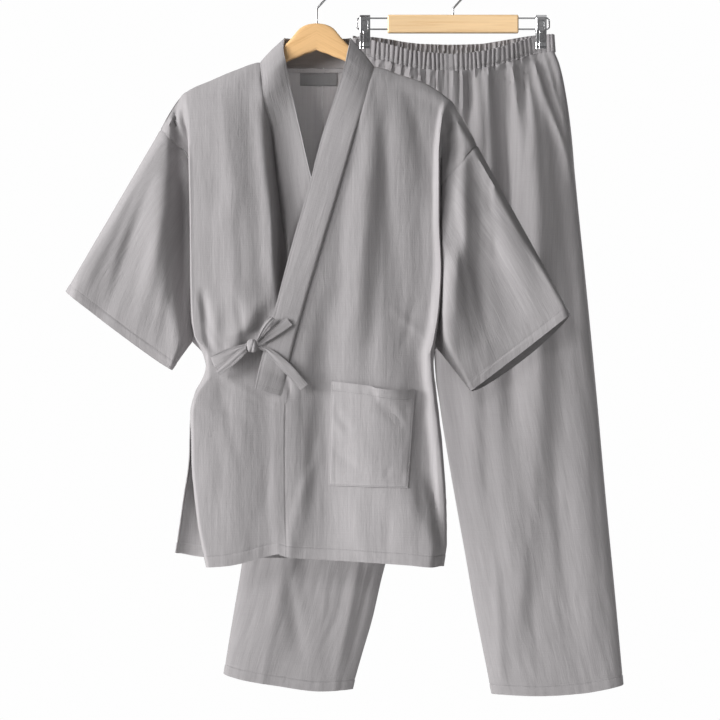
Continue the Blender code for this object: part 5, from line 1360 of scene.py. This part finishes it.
BACK_CREASES = table(FOLDS, """-150 200 -158 560 8 -1.4, -80 170 -70 640 9 1.3, -30 200 -20 700 8 -1.2,
    70 180 78 600 9 -1.3, 150 220 158 560 8 1.4, 25 260 30 800 9 1.1, -120 520 -128 860 8 1.2,
    118 560 126 870 8 -1.2, -178 400 -150 620 7 1.3, 176 420 150 640 7 -1.3""")
COLLAR_PIECING = {RIGHT: 430, LEFT: 478}  # drop at which a length of the collar's band is joined to the next
POCKET_HEM, POCKET_EDGE = 13.5, 1.8
POCKET_CREASES = table(FOLDS, """20 645 53 686 7 -1.2, 21 709 68 745 8 -1.2, 24 660 45 698 6 0.9,
    83 621 90 640 4 -1.4, 88 634 128 676 8 -1.7, 119 643 140 684 6 0.9, 99 742 104 768 4 0.8,
    110 734 100 758 4 -0.9, 132 697 125 750 7 0.8, 45 650 75 735 14 1.2, 60 755 30 757 4 0.7,
    140 650 136 760 5 -0.6""")
POCKET_MOUTH = table("x sag gape", """20 0 0, 60 0.6 1.5, 80 1.2 3, 88 3.4 5, 110 4.4 7, 132 3.4 6, 143 0.6 1,
    150 0 0""")


def sew(name, grid, cut, detail, node, held, rests_on, slot="cloth", **shell):
    """Makes a piece of cloth and hides the solid that it is cut from; held, how it is held, is not used. Returns its
    outer surface.
    """
    obj, surface = cloth(name, grid, cut, detail, **shell)
    dress(obj, node, slot)
    flat, area = CUTS[node]
    return surface


def jacket_fronts():
    for side, name in SIDES.items():
        grid = front_panel(side, JACKET_ROWS, places(FRONT_WIDTH, [EDGE_HEM, FRONT_WIDTH - 6]), TURN)
        x, drop, from_edge, from_side, down, from_hem = spread(grid)
        seed = SEEDS[f"front_{name}"]
        below_collar, slit = rise(drop - COLLAR_END[side], 4, 10), rise(drop, SLIT_TOP, 14)
        sewn = ease(down / 8) * mix(ease(from_edge / 8), 1, below_collar)
        sewn = mix(ease(from_side / 7), 1, slit) * sewn
        detail = crumple(from_edge, drop, seed, 0.45 + 0.8 * rise(drop, BOW_PULL, 160)) * sewn
        detail += relief(FRONT_CREASES[side], x, drop) * rise(from_side, 14, 10) * sewn
        armhole_seam = seam_ridge(from_side, 0.3) + line_dip(from_side, 1.3, 1.3) * (drop < 320)
        detail += seam_ridge(down, 0.2) + armhole_seam * (1 - slit) + seam_ridge(from_edge, 0.3) * (1 - below_collar)
        detail += hem_band(from_hem, from_edge, HEM_DEPTH, seed + 4)
        detail += hem_band(from_edge, drop, EDGE_HEM, seed + 5, 0.35) * below_collar
        detail += hem_band(from_side, drop, SLIT_HEM, seed + 6, 0.35) * slit
        surface = sew(f"jacket_front_{name}", grid, (x, drop), detail, f"front_{name}", "hung", ON_HANGER,
                      inward=INSIDE_JACKET, kept=dict(top=IN_PLANE, last=IN_PLANE), limit=(FRONT, 0))
        stitch("jacket", surface, from_hem, HEM_DEPTH)
        stitch("jacket", surface, from_edge, EDGE_HEM, 1, below=COLLAR_END[side] + 2)
        stitch("jacket", surface, from_side, SLIT_HEM, 1, below=SLIT_TOP + 6)


def jacket_backs():
    for side, name in SIDES.items():
        shares = np.union1d(neck_shares(26), [0.018, 0.036])  # with closer columns at the centre seam
        grid = back_panel(side, JACKET_ROWS, shares, 28, TURN)
        x, drop, over, from_side, down, from_hem = spread(grid)
        slit = rise(drop, SLIT_TOP, 14)
        seed = SEEDS[f"back_{name}"]
        sewn = ease(over / 7) * mix(ease(from_side / 7), 1, slit) * ease(down / 8)
        detail = crumple(over, drop, seed, 0.9) * sewn
        detail += relief(BACK_CREASES, x, drop) * rise(from_side, 14, 10) * sewn
        detail += seam_ridge(over) + seam_ridge(down) + seam_ridge(from_side) * (1 - slit) + line_dip(over, 0.8, 1.4)
        detail += hem_band(from_hem, over, HEM_DEPTH, seed + 4)
        detail += hem_band(from_side, drop, SLIT_HEM, seed + 6, 0.35) * slit
        cut = side * over + BACK_CUT * side, drop
        surface = sew(f"jacket_back_{name}", grid, cut, detail, f"back_{name}", "hung", ON_HANGER,
                      inward=INSIDE_JACKET, kept=dict(top=IN_PLANE, last=IN_PLANE, first=NO_X), limit=(BACK, 0))
        stitch("jacket", surface, from_hem, HEM_DEPTH)
        stitch("jacket", surface, from_side, SLIT_HEM, 1, below=SLIT_TOP + 6)
        stitch("jacket", surface, over, BACK_STITCH, 1, 3, -3)


def jacket_sleeves():
    for side, name in SIDES.items():
        rows = JACKET_ROWS[JACKET_ROWS <= UNDERARM + 1e-9]
        grid = sleeve(side, rows, places(SLEEVE_LENGTH, [SLEEVE_LENGTH - CUFF_HEM]))
        x, drop, _, _, out, to_cuff = spread(grid)
        ring = lengths(np.concatenate([grid, grid[:, :1]], axis=1), 1)
        around, half = ring[:, :-1], ring[:, len(rows) - 1, None]
        seed = SEEDS[f"sleeve_{name}"]
        sewn = ease(out / 8)
        from_fold = np.minimum(around, np.minimum(np.abs(around - half), ring[:, -1:] - around))
        detail = crumple(around, out, seed, 0.6) * sewn * mix(0.35, 1, ease(from_fold / 12))
        detail += relief(SLEEVE_CREASES[side], x, drop) * sewn * ease(from_fold / 14)
        detail += seam_ridge(out, 0.35) + line_dip(out, 1.3, 1.3)
        detail += hem_band(to_cuff, around, CUFF_HEM, seed + 5, 0.5)
        cut = ring, np.concatenate([out, out[:, :1]], axis=1)
        surface = sew(f"jacket_sleeve_{name}", grid, cut, detail, f"sleeve_{name}", "hung", [f"jacket_front_{name}"],
                      wrap=True)
        stitch("jacket", surface, to_cuff, CUFF_HEM, closed=True)


def jacket_collar():
    across = places(COLLAR_WIDTH, [COLLAR_STITCH, COLLAR_WIDTH - COLLAR_STITCH], 3.2)
    grid = collar(JACKET_ROWS, neck_shares(30), across)
    x, drop, over, from_free, along, _ = spread(grid)
    seed, share = SEEDS["collar"], over / over[:, -1:]
    run = along[:, :1] + 0 * along
    half = np.sign(run - run[len(run) // 2])
    puff = 1.1 * np.sin(math.pi * np.clip(share, 0, 1)) ** 0.7
    # on the right side the band rolls up where the left one doesn't lie on it; on the left it stands off at its seam
    rolled = rise(drop, COLLAR_NECK, 80) * fall(drop, 430, 60) * (grid[:, :1, 0] < 0)
    under = rise(x - read(COLLAR_EDGE[LEFT], "x", drop), -8, 10)
    roll = 6 * bell(share - 0.12, np.where(share < 0.12, 0.12, 0.5)) * rolled * (1 - under)
    on_left = np.arange(len(grid))[:, None] > len(grid) // 2
    stand = 4 * (1 - share) * ease(over / 3) * rise(drop, COLLAR_NECK, 60) * fall(drop, 560, 60) * on_left
    detail = puff + roll + stand + crumple(over * 1.6, run, seed, 0.55)
    at_neck = 0.9 * noise(run, over, 15, 70, seed + 3) + 0.5 * noise(run, over, 6, 50, seed + 4)
    detail += ease((COLLAR_NECK - drop) / 50) * at_neck
    for side, at in COLLAR_PIECING.items():
        detail += line_dip(np.where(half == side, drop - at - 0.12 * over, 99), 0.5, 1.6)
    detail += line_dip(over - COLLAR_STITCH, 0.35) + line_dip(from_free - COLLAR_STITCH, 0.3)
    detail += line_dip(over, 0.45, 1.5)
    ends = run - run[0], run[-1] - run
    for end in ends:
        detail += hem_band(end, over, COLLAR_END_HEM, seed + 7, 0.3)
    fronts = ["jacket_front_left", "jacket_front_right"]
    surface = sew("jacket_collar", grid, (over, run), detail, "collar", "folded", fronts,
                  inward=INSIDE_COLLAR, thickness=DOUBLE, finish=BAND_CLOTH)
    for field in (over, from_free):
        stitch("jacket", surface, field, COLLAR_STITCH, 1, 2, -2)
    for field in ends:
        stitch("jacket", surface, field, COLLAR_END_HEM, 0, 1, -1)


def jacket_pocket():
    columns = places(POCKET_WIDTH, [POCKET_EDGE, POCKET_WIDTH - POCKET_EDGE], 3)
    rows = places(POCKET_LENGTH, [POCKET_HEM, POCKET_LENGTH - POCKET_EDGE], 3)
    grid = pocket_panel(rows, columns)
    mouth = (1 - ease(rows * 3.2))[:, None] ** 2
    for axis, name in ((1, "gape"), (2, "sag")):
        grid[..., axis] -= read(POCKET_MOUTH, name, grid[..., 0]) * mouth
    x, drop, over, from_last, down, from_bottom = spread(grid)
    away = np.minimum.reduce([over, from_last, from_bottom])
    seed, inside = SEEDS["pocket"], ease(away / 12)
    detail = 0.2 + (crumple(over, down, seed, 0.9) + relief(POCKET_CREASES, x, drop)) * inside
    detail += 0.45 * fall(away, 5, 3) * ease(away / 1.2) + line_dip(away - POCKET_EDGE, 0.5)
    detail += hem_band(down, over, POCKET_HEM, seed + 3, 0.35) * inside
    surface = sew("jacket_pocket", grid, (x + POCKET_CUT, drop), detail, "pocket", "laid", ["jacket_front_left"],
                  inward=INSIDE_JACKET, finish=POCKET_CLOTH)
    stitch("jacket", surface, down, POCKET_HEM)
    for field, axis, stop in ((over, 1, None), (from_last, 1, None), (from_bottom, 0, -1)):
        stitch("jacket", surface, field, POCKET_EDGE, axis, 1, stop)


def neck_pieces():
    """The tape along the inside of the back's neck seam, and the label under it."""
    for name, box, lift, columns, rows, finish, slot in (
        ("neck_tape", TAPE, 0.8, 60, 6, TAPE_CLOTH, "cloth"),
        ("neck_label", LABEL, 0.6, 40, 14, LABEL_CLOTH, "label_cloth"),
    ):
        grid = lining_strip(box, lift, np.linspace(0, 1, rows + 1), np.linspace(0, 1, columns + 1))
        _, _, over, from_last, down, from_bottom = spread(grid)
        away = np.minimum.reduce([over, from_last, down, from_bottom])
        detail = 0.15 * noise(over, down, 9, 9, SEEDS["neck"]) + line_dip(away - 1.2, 0.15, 0.6)
        surface = sew(f"jacket_{name}", grid, (over, down), detail, name, "laid", ["jacket_back_left"], slot,
                      inward=BEFORE_BACK, thickness=box["wall"], finish=finish)
        for field, axis in ((over, 1), (from_last, 1), (down, 0), (from_bottom, 0)):
            stitch("jacket", surface, field, 1.1, axis, 1, -1)


def ties():
    for name, rows in BOW.items():
        grid = ribbon(rows, 72, np.linspace(0, 1, 13))
        _, _, over, from_last, run, _ = spread(grid)
        width = over[:, -1:]
        share = over / width
        gathered = 1 - np.clip(width / 15, 0, 1)
        arch = np.sin(math.pi * share)
        detail = 0.5 * arch**0.5 + 1.5 * gathered * np.cos(2 * math.pi * (1.6 * share + 0.3)) * arch
        detail += 0.5 * noise(over, run, 6, 22, SEEDS["ties"]) * arch
        for away in (over, from_last):
            detail += line_dip(away - RIBBON_STITCH, 0.2, 0.5)
        middle = [rows[axis].mean() for axis in ("x", "y", "drop")] if "loop" in name else (-100, 0, 560)
        surface = sew(f"jacket_{name}", grid, (over, run), detail, name, "folded", ["tie_knot_cloth"],
                      inward=middle, thickness=RIBBON_WALL, finish=BAND_CLOTH)
        for away in (over, from_last):
            stitch("jacket", surface, away, RIBBON_STITCH, 1, 2, -2)


def knot():
    """The bow's knot: a short roll along x, with the ribbon's turns and one groove round it."""
    turn = 2 * math.pi * np.arange(40) / 40
    rings = []
    for share in np.linspace(-0.5, 0.5, 30):
        size = (1 - (2 * abs(share)) ** 3.2 * 0.42) * (0.55 if abs(share) > 0.495 else 1)
        wrap = 0.5 * np.sin(9 * share + 1.2 * np.sin(turn)) + 0.35 * np.sin(3 * turn + 14 * share)
        groove = -1.3 * bell(share - 0.16 * np.sin(turn - 0.6), 0.055)
        radius = size * (1 + (wrap + groove) * 0.07) / 2
        rings.append(stack(KNOT["x"] + share * KNOT["width"], KNOT["drop"] - KNOT["height"] * radius * np.sin(turn),
                           KNOT["y"] + KNOT["depth"] * 0.94 * radius * np.cos(turn)))
    obj = dress(solid_of_rings("tie_knot_cloth", np.array(rings), KNOT_CLOTH), "tie_knot", "cloth")


# ---------------------------------------------------------------- the trousers

INSIDE_TROUSERS = (190, TROUSERS_Y, 500)
GATHER_STEPS = 12  # columns of the band for each gather
BAND_JOIN = 201  # where the front band's ends are joined, and it is flatter
LEG_CREASES = {
    RIGHT: table(FOLDS, """100 240 40 700 9 -1.8, 70 300 0 900 8 1.5, 130 400 60 900 9 -1.6,
        0 500 -60 1000 8 -1.5, 90 700 20 1060 8 1.5, -50 700 -100 1050 8 1.4, 60 860 0 1060 6 -1.6,
        -20 880 -70 1060 6 1.4, 110 850 70 1060 7 1.2, -80 820 -115 1050 6 -1.3"""),
    LEFT: table(FOLDS, """300 150 330 620 8 -2.0, 262 160 275 560 8 1.8, 345 170 372 560 8 1.7,
        380 240 405 700 7 -1.5, 330 560 372 1040 10 1.2, 350 620 398 1060 10 -1.0, 295 600 318 1060 8 1.8,
        270 700 290 1060 7 -1.8, 385 700 425 1060 7 1, 410 640 448 1040 7 -0.8, 320 850 338 1070 5 -1.6,
        365 860 390 1075 5 1.5, 240 640 262 900 7 1.5, 215 600 232 860 7 -1.6, 395 500 415 640 6 1.6"""),
}


def band_wave(x, q, face):
    """The casing's puffs and creases: uneven in width, depth and slant, from -1 to about 0.9."""
    rng = np.random.default_rng(SEEDS["waistband"] + face)
    depth = np.concatenate([rng.uniform(0.65, 1.25, GATHERS + 1), [1]])
    shift, lean = (np.concatenate([[0], rng.uniform(-most, most, GATHERS - 1), [0, 0]]) for most in (0.22, 0.28))
    at = (x - WAIST["right"]) / (WAIST["left"] - WAIST["right"]) * GATHERS
    number = np.clip(np.floor(at).astype(int), 0, GATHERS - 1)
    across = at - number
    bent = at - mix(shift[number], shift[number + 1], across) - mix(lean[number], lean[number + 1], across) * (q - 0.5)
    phase = bent - np.floor(bent)
    number = np.clip(np.floor(bent).astype(int), 0, GATHERS - 1)
    return mix(depth[number], depth[number + 1], phase) * (1.75 * np.abs(np.sin(math.pi * phase)) ** 0.62 - 1)


def flatter_at_join(x, depth):
    return 1 - depth * bell(x - BAND_JOIN, 8)


def waistbands():
    for face, name in FACES.items():
        q = places(WAIST["band"], [WAIST["band"] - BAND_STITCH], 2.0)[:, None]
        x = mix(WAIST["right"], WAIST["left"], np.linspace(0, 1, GATHERS * GATHER_STEPS + 1))
        drop, y = waist_ring(face, x)
        grid = stack(x + (x - WAIST_MIDDLE) * BAND_LEAN * q, drop + WAIST["band"] * q, y)
        wave = band_wave(x[None], q, face)
        at_stitches = bell(q - 1 + BAND_STITCH / WAIST["band"], 0.08)
        held = 1 - 0.45 * at_stitches - 0.25 * (q < 0.02)
        ends = ease(np.minimum(x - x[0], x[-1] - x) / 5)
        height = 1.9 * GATHER_HEIGHT * read(WAIST_LINE, "puff", x) * wave * held * ends
        if face == FRONT:
            height *= flatter_at_join(x, 0.85)
        grid[..., 1] += face * height
        grid[..., 2] += (0.5 * wave * ends) * (1 - q) ** 3
        _, _, over, _, down, from_bottom = spread(grid)
        detail = 0.25 * noise(over, down, 5, 18, SEEDS["waistband"] + 5) * ends
        detail += line_dip(BAND_STITCH - from_bottom, 0.35, 0.8) * ends
        surface = sew(f"trousers_waistband_{name}", grid, (over, down), detail, f"waistband_{name}", "gathered",
                      ["clip_left_front"], inward=INSIDE_TROUSERS, kept=dict(first=IN_PLANE, last=IN_PLANE),
                      limit=(face, TROUSERS_Y))
        stitch("trousers", surface, from_bottom, BAND_STITCH, 0, 6, -6)


def leg(side, face):
    grid = leg_panel(side, face, LEG_ROWS, places(LEG_WIDTH, [INSEAM_STITCH], 3.3))
    x, drop, over, from_outer, down, from_hem = spread(grid)
    name = f"leg_{SIDES[side]}_{FACES[face]}"
    seed = SEEDS[name]
    sewn = ease(over / 7) * ease(from_outer / 7) * ease(down / 10)
    upper = 1.1 - 0.6 * rise(drop, 200, 200)  # the cloth is livelier near the gathers
    bent = over + 5 * noise(over, drop, 60, 90, seed + 9)
    creased = 0.45 * (0.5 - np.abs(noise(bent, drop, 13, 70, seed + 8)))
    fine = 0.5 * noise(over + 6 * noise(over, drop, 40, 60, seed + 11), drop, 8.5, 40, seed + 12)
    if face == FRONT:
        creases = relief(LEG_CREASES[side], x, drop) * 0.45
    else:
        creases = relief(LEG_CREASES[side], x + 18 * side, drop - 30) * 0.6
    detail = ((crumple(over, drop, seed) + creased) * upper + fine + creases) * sewn
    wave = band_wave(x - (x - WAIST_MIDDLE) * BAND_LEAN, 1.0, face)
    reach = 26 + 110 * (noise(x, 0 * x, 11, 11, SEEDS["gathers"]) * 0.5 + 0.5) ** 2
    gathers = wave * read(WAIST_LINE, "puff", x[:1]) * (1 - ease(down / reach)) * ease(from_outer / 6)
    detail += 1.4 * GATHER_HEIGHT * gathers * flatter_at_join(x, 0.8)
    detail += seam_ridge(from_outer) + seam_ridge(over, 0.35) * (drop > 130)
    detail += hem_band(from_hem, over, LEG_HEM_DEPTH, seed + 5)
    above_crotch = LEG_ROWS < CROTCH
    kept = dict(first=np.where(above_crotch[:, None], NO_X, IN_PLANE), last=IN_PLANE)
    surface = sew(f"trousers_{name}", grid, (side * over, drop), detail, name, "hung",
                  [f"trousers_waistband_{FACES[face]}"], inward=INSIDE_TROUSERS, kept=kept, limit=(face, TROUSERS_Y))
    stitch("trousers", surface, from_hem, LEG_HEM_DEPTH)
    if side == RIGHT:
        stitch("trousers", surface, over, INSEAM_STITCH, 1, 3, above_crotch.sum() - 1)


# ---------------------------------------------------------------- the hangers

# The ridged panel pressed into the upper part of each jaw, and the lip that turns out below it.
CLIP_GRIP = dict(top=59, bottom=77, half=4.6, depth=0.42, pitch=2.1, ridge=0.25)
CLIP_LIP = dict(drop=98, depth=0.9)
HANGER_SECTIONS, HANGER_AROUND = 70, 40
SPRING_WIRE, SPRING_TURNS, SPRING_REACH = 0.65, 7, 10


def hangers():
    sections = hanger_sections(HANGER_SECTIONS, HANGER_AROUND)
    dress(solid_of_rings("hanger_wood_turned", sections, HANGER_WOOD), "hanger_wood", "hanger_wood")
    wire("hanger_hook_wire", hook_path(0, 0, 72 - SEAM, HOOK_ROUND), WIRE, "hanger_hook")
    lo, hi = BAR["x"]
    wire("clip_hanger_hook_wire", hook_path((lo + hi) / 2, TROUSERS_Y, BAR["drop"][0] - SEAM, BAR_HOOK_ROUND), WIRE,
         "clip_hanger_hook")
    for name, start in (("right", lo - SEAM), ("left", hi + SEAM)):
        path = end_wire_path(BAR_WIRE_ENDS[name], start, TROUSERS_Y)
        wire(f"clip_hanger_rod_{name}", path, BAR_WIRE, f"clip_hanger_wire_{name}")
    bar()
    for name, x in CLIPS.items():
        for face, hand in FACES.items():
            clip(f"clip_{name}_{hand}", face, x)
        spring(f"clip_{name}_spring", x)


def bar():
    """The wooden bar: a block with rounded edges."""
    half = BAR["depth"] / 2
    corners = [(x, y, -drop) for x in BAR["x"] for y in (TROUSERS_Y - half, TROUSERS_Y + half) for drop in BAR["drop"]]
    faces = [(0, 2, 3, 1), (4, 5, 7, 6), (0, 1, 5, 4), (2, 6, 7, 3), (0, 4, 6, 2), (1, 3, 7, 5)]
    obj = dress(add_mesh("clip_hanger_bar_wood", corners, faces, BAR_WOOD), "clip_hanger_bar", "bar_wood")
    edge = obj.modifiers.new("Edges", "BEVEL")
    edge.width, edge.segments = BAR["bevel"] * MM, 5


def clip(node, face, middle_x):
    """One jaw: a pressed plate with rolled edges, a sunk grip above and two ribs down to the lip."""
    plate = clip_plate(face, middle_x)
    xs, drops = plate[0, :, 0], -plate[:, 0, 2]
    x = np.interp(np.linspace(0, len(xs) - 1, 49), np.arange(len(xs)), xs)
    drop = mix(drops[0], drops[-1], np.linspace(0, 1, 57))
    y = np.stack([np.interp(drop, drops, column) for column in plate[..., 1].T], axis=1)
    y = np.stack([np.interp(x, xs, row) for row in y])
    x, drop = np.meshgrid(x, drop)
    top, bottom = rise(drop, CLIP_GRIP["top"], 1.2), ease((CLIP_GRIP["bottom"] - drop) / 1.2)
    grip = ease((CLIP_GRIP["half"] - np.abs(x - middle_x)) / 0.8) * top * bottom
    ridges = CLIP_GRIP["ridge"] * np.sin(drop * 2 * math.pi / CLIP_GRIP["pitch"]) * grip
    lip = CLIP_LIP["depth"] * rise(drop, CLIP_LIP["drop"], 3)
    grid = stack(x, drop, y + face * (ridges + lip - CLIP_GRIP["depth"] * grip))
    obj, _ = cloth(f"{node}_plate", grid, (x, drop), 0 * x, (middle_x, TROUSERS_Y, 80), CLIP_WALL, finish=STEEL)
    dress(obj, node, "steel")


def spring(node, x):
    """The coil between the jaws, wound round their pin."""
    radius, middle, steps = SPRING_RADIUS - 0.7, sum(BAR_WIRE_DROPS) / 2, 24
    points = []
    for turns in np.arange(SPRING_TURNS * steps + 1) / steps:
        angle = 2 * math.pi * turns
        points.append((x + SPRING_REACH * (turns / SPRING_TURNS - 0.5), TROUSERS_Y + radius * math.cos(angle),
                       -middle + radius * math.sin(angle)))
    wire(f"{node}_coil", points, SPRING_WIRE, node)


# ---------------------------------------------------------------- light, floor and camera

FLOOR_Z = -1.35
FLOOR_X, FLOOR_Y = (-3, 3), (-2.5, 0.9)
CAMERA_X, CAMERA_Z, CAMERA_AWAY = 0.065, -0.5771, 4.5
LENS, SENSOR = 150, 36
AMBIENT, BACKDROP = 0.125, 0.99
LAMPS_AIM = (0.06, 0, -0.55)
# The lamps: place, size and power. Those named behind light the trousers alone, and the first two of them pass the
# jacket by, as the trousers hang apart from it; the third one lets it throw a narrow shadow. The one named neck lights
# the back.
LAMPS = {
    "rake": ((-18, -8, 2.8), 7.5, 4900), "key": ((-11, -10.8, 4.2), 6, 1230),
    "fill": ((3.5, -15, 1.5), 7.5, 40), "top": ((0.1, 0.9, 2.6), 1.8, 8),
    "rake_behind": ((-18, -8, 2.8), 7.5, 3700), "key_behind": ((-9, -12, 4.2), 6.5, 560),
    "front_behind": ((-4, -14.5, 5.5), 4, 440), "neck": ((0.4, -6, 1.4), 2, 130),
    "back_key": ((7, 13, 4.5), 5, 1500), "back_fill": ((-8, 12, 3), 5, 420),
}
PASSES_JACKET = ("rake_behind", "key_behind")


def area_light(name, at, size, power):
    light = bpy.data.lights.new(name, "AREA")
    light.energy, light.size, light.shape = power, size, "DISK"
    obj = bpy.data.objects.new(name, light)
    obj.location = at
    obj.rotation_euler = (Vector(LAMPS_AIM) - obj.location).to_track_quat("-Z", "Y").to_euler()
    bpy.context.scene.collection.objects.link(obj)


def studio():
    """The white floor, the lamps, an even white backdrop and the camera."""
    scene = bpy.context.scene
    mesh = bpy.data.meshes.new("floor")
    (x0, x1), (y0, y1) = FLOOR_X, FLOOR_Y
    mesh.from_pydata([(x0, y0, FLOOR_Z), (x1, y0, FLOOR_Z), (x1, y1, FLOOR_Z), (x0, y1, FLOOR_Z)], [], [(0, 1, 2, 3)])
    mesh.materials.append(shader_of("floor_paint", (0.86, 0.86, 0.855), 0.9)[0])
    floor = bpy.data.objects.new("floor", mesh)
    scene.collection.objects.link(floor)
    for name, (at, size, power) in LAMPS.items():
        area_light(name, at, size, power)
    world = bpy.data.worlds.new("world")
    scene.world = world
    world.use_nodes = True
    g = Graph(world)
    ambient = g.nodes["Background"]
    ambient.inputs["Color"].default_value = (1, 1, 1, 1)
    ambient.inputs["Strength"].default_value = AMBIENT
    seen = g.add("Background", {"Color": (BACKDROP, BACKDROP, BACKDROP, 1)})
    path = g.add("LightPath", {})
    both = g.add("MixShader", {0: path.outputs["Is Camera Ray"], 1: ambient.outputs[0], 2: seen.outputs[0]})
    g.links.new(both.outputs[0], g.nodes["World Output"].inputs["Surface"])
    camera = bpy.data.objects.new("camera", bpy.data.cameras.new("camera"))
    camera.data.lens, camera.data.sensor_width = LENS, SENSOR
    camera.location = (CAMERA_X, -CAMERA_AWAY, CAMERA_Z)
    camera.rotation_euler = (math.pi / 2, 0, 0)
    scene.collection.objects.link(camera)
    scene.camera = camera
    scene.view_settings.view_transform = "Standard"
    scene.view_settings.look = "None"


def group(name, prefixes):
    made = bpy.data.collections.new(name)
    for obj in bpy.data.objects:
        if obj.name.startswith(prefixes):
            made.objects.link(obj)
    return made


def set_apart():
    """Gives the trousers their own lamps, keeps the others off them, and gives the back the one by the neck."""
    trousers, others = group("trousers", "trousers"), group("not_trousers", "trousers")
    back = group("back", ("jacket_back", "jacket_neck"))
    for made, state in ((trousers, "INCLUDE"), (others, "EXCLUDE")):
        for held in made.collection_objects:
            held.light_linking.link_state = state
    for name in LAMPS:
        link = bpy.data.objects[name].light_linking
        if name.endswith("behind"):
            link.receiver_collection = trousers
            if name in PASSES_JACKET:
                link.blocker_collection = trousers
        elif name == "neck":
            link.receiver_collection = back
        elif name in ("rake", "key"):
            link.receiver_collection = others


def main():
    studio()
    for make in (jacket_fronts, jacket_backs, jacket_sleeves, jacket_collar, jacket_pocket, neck_pieces, ties, knot):
        make()
    waistbands()
    for face in FACES:
        for side in SIDES:
            leg(side, face)
    hangers()
    for garment, rows in STITCH_ROWS.items():
        stitches(f"{garment}_stitches", rows)
    set_apart()


main()
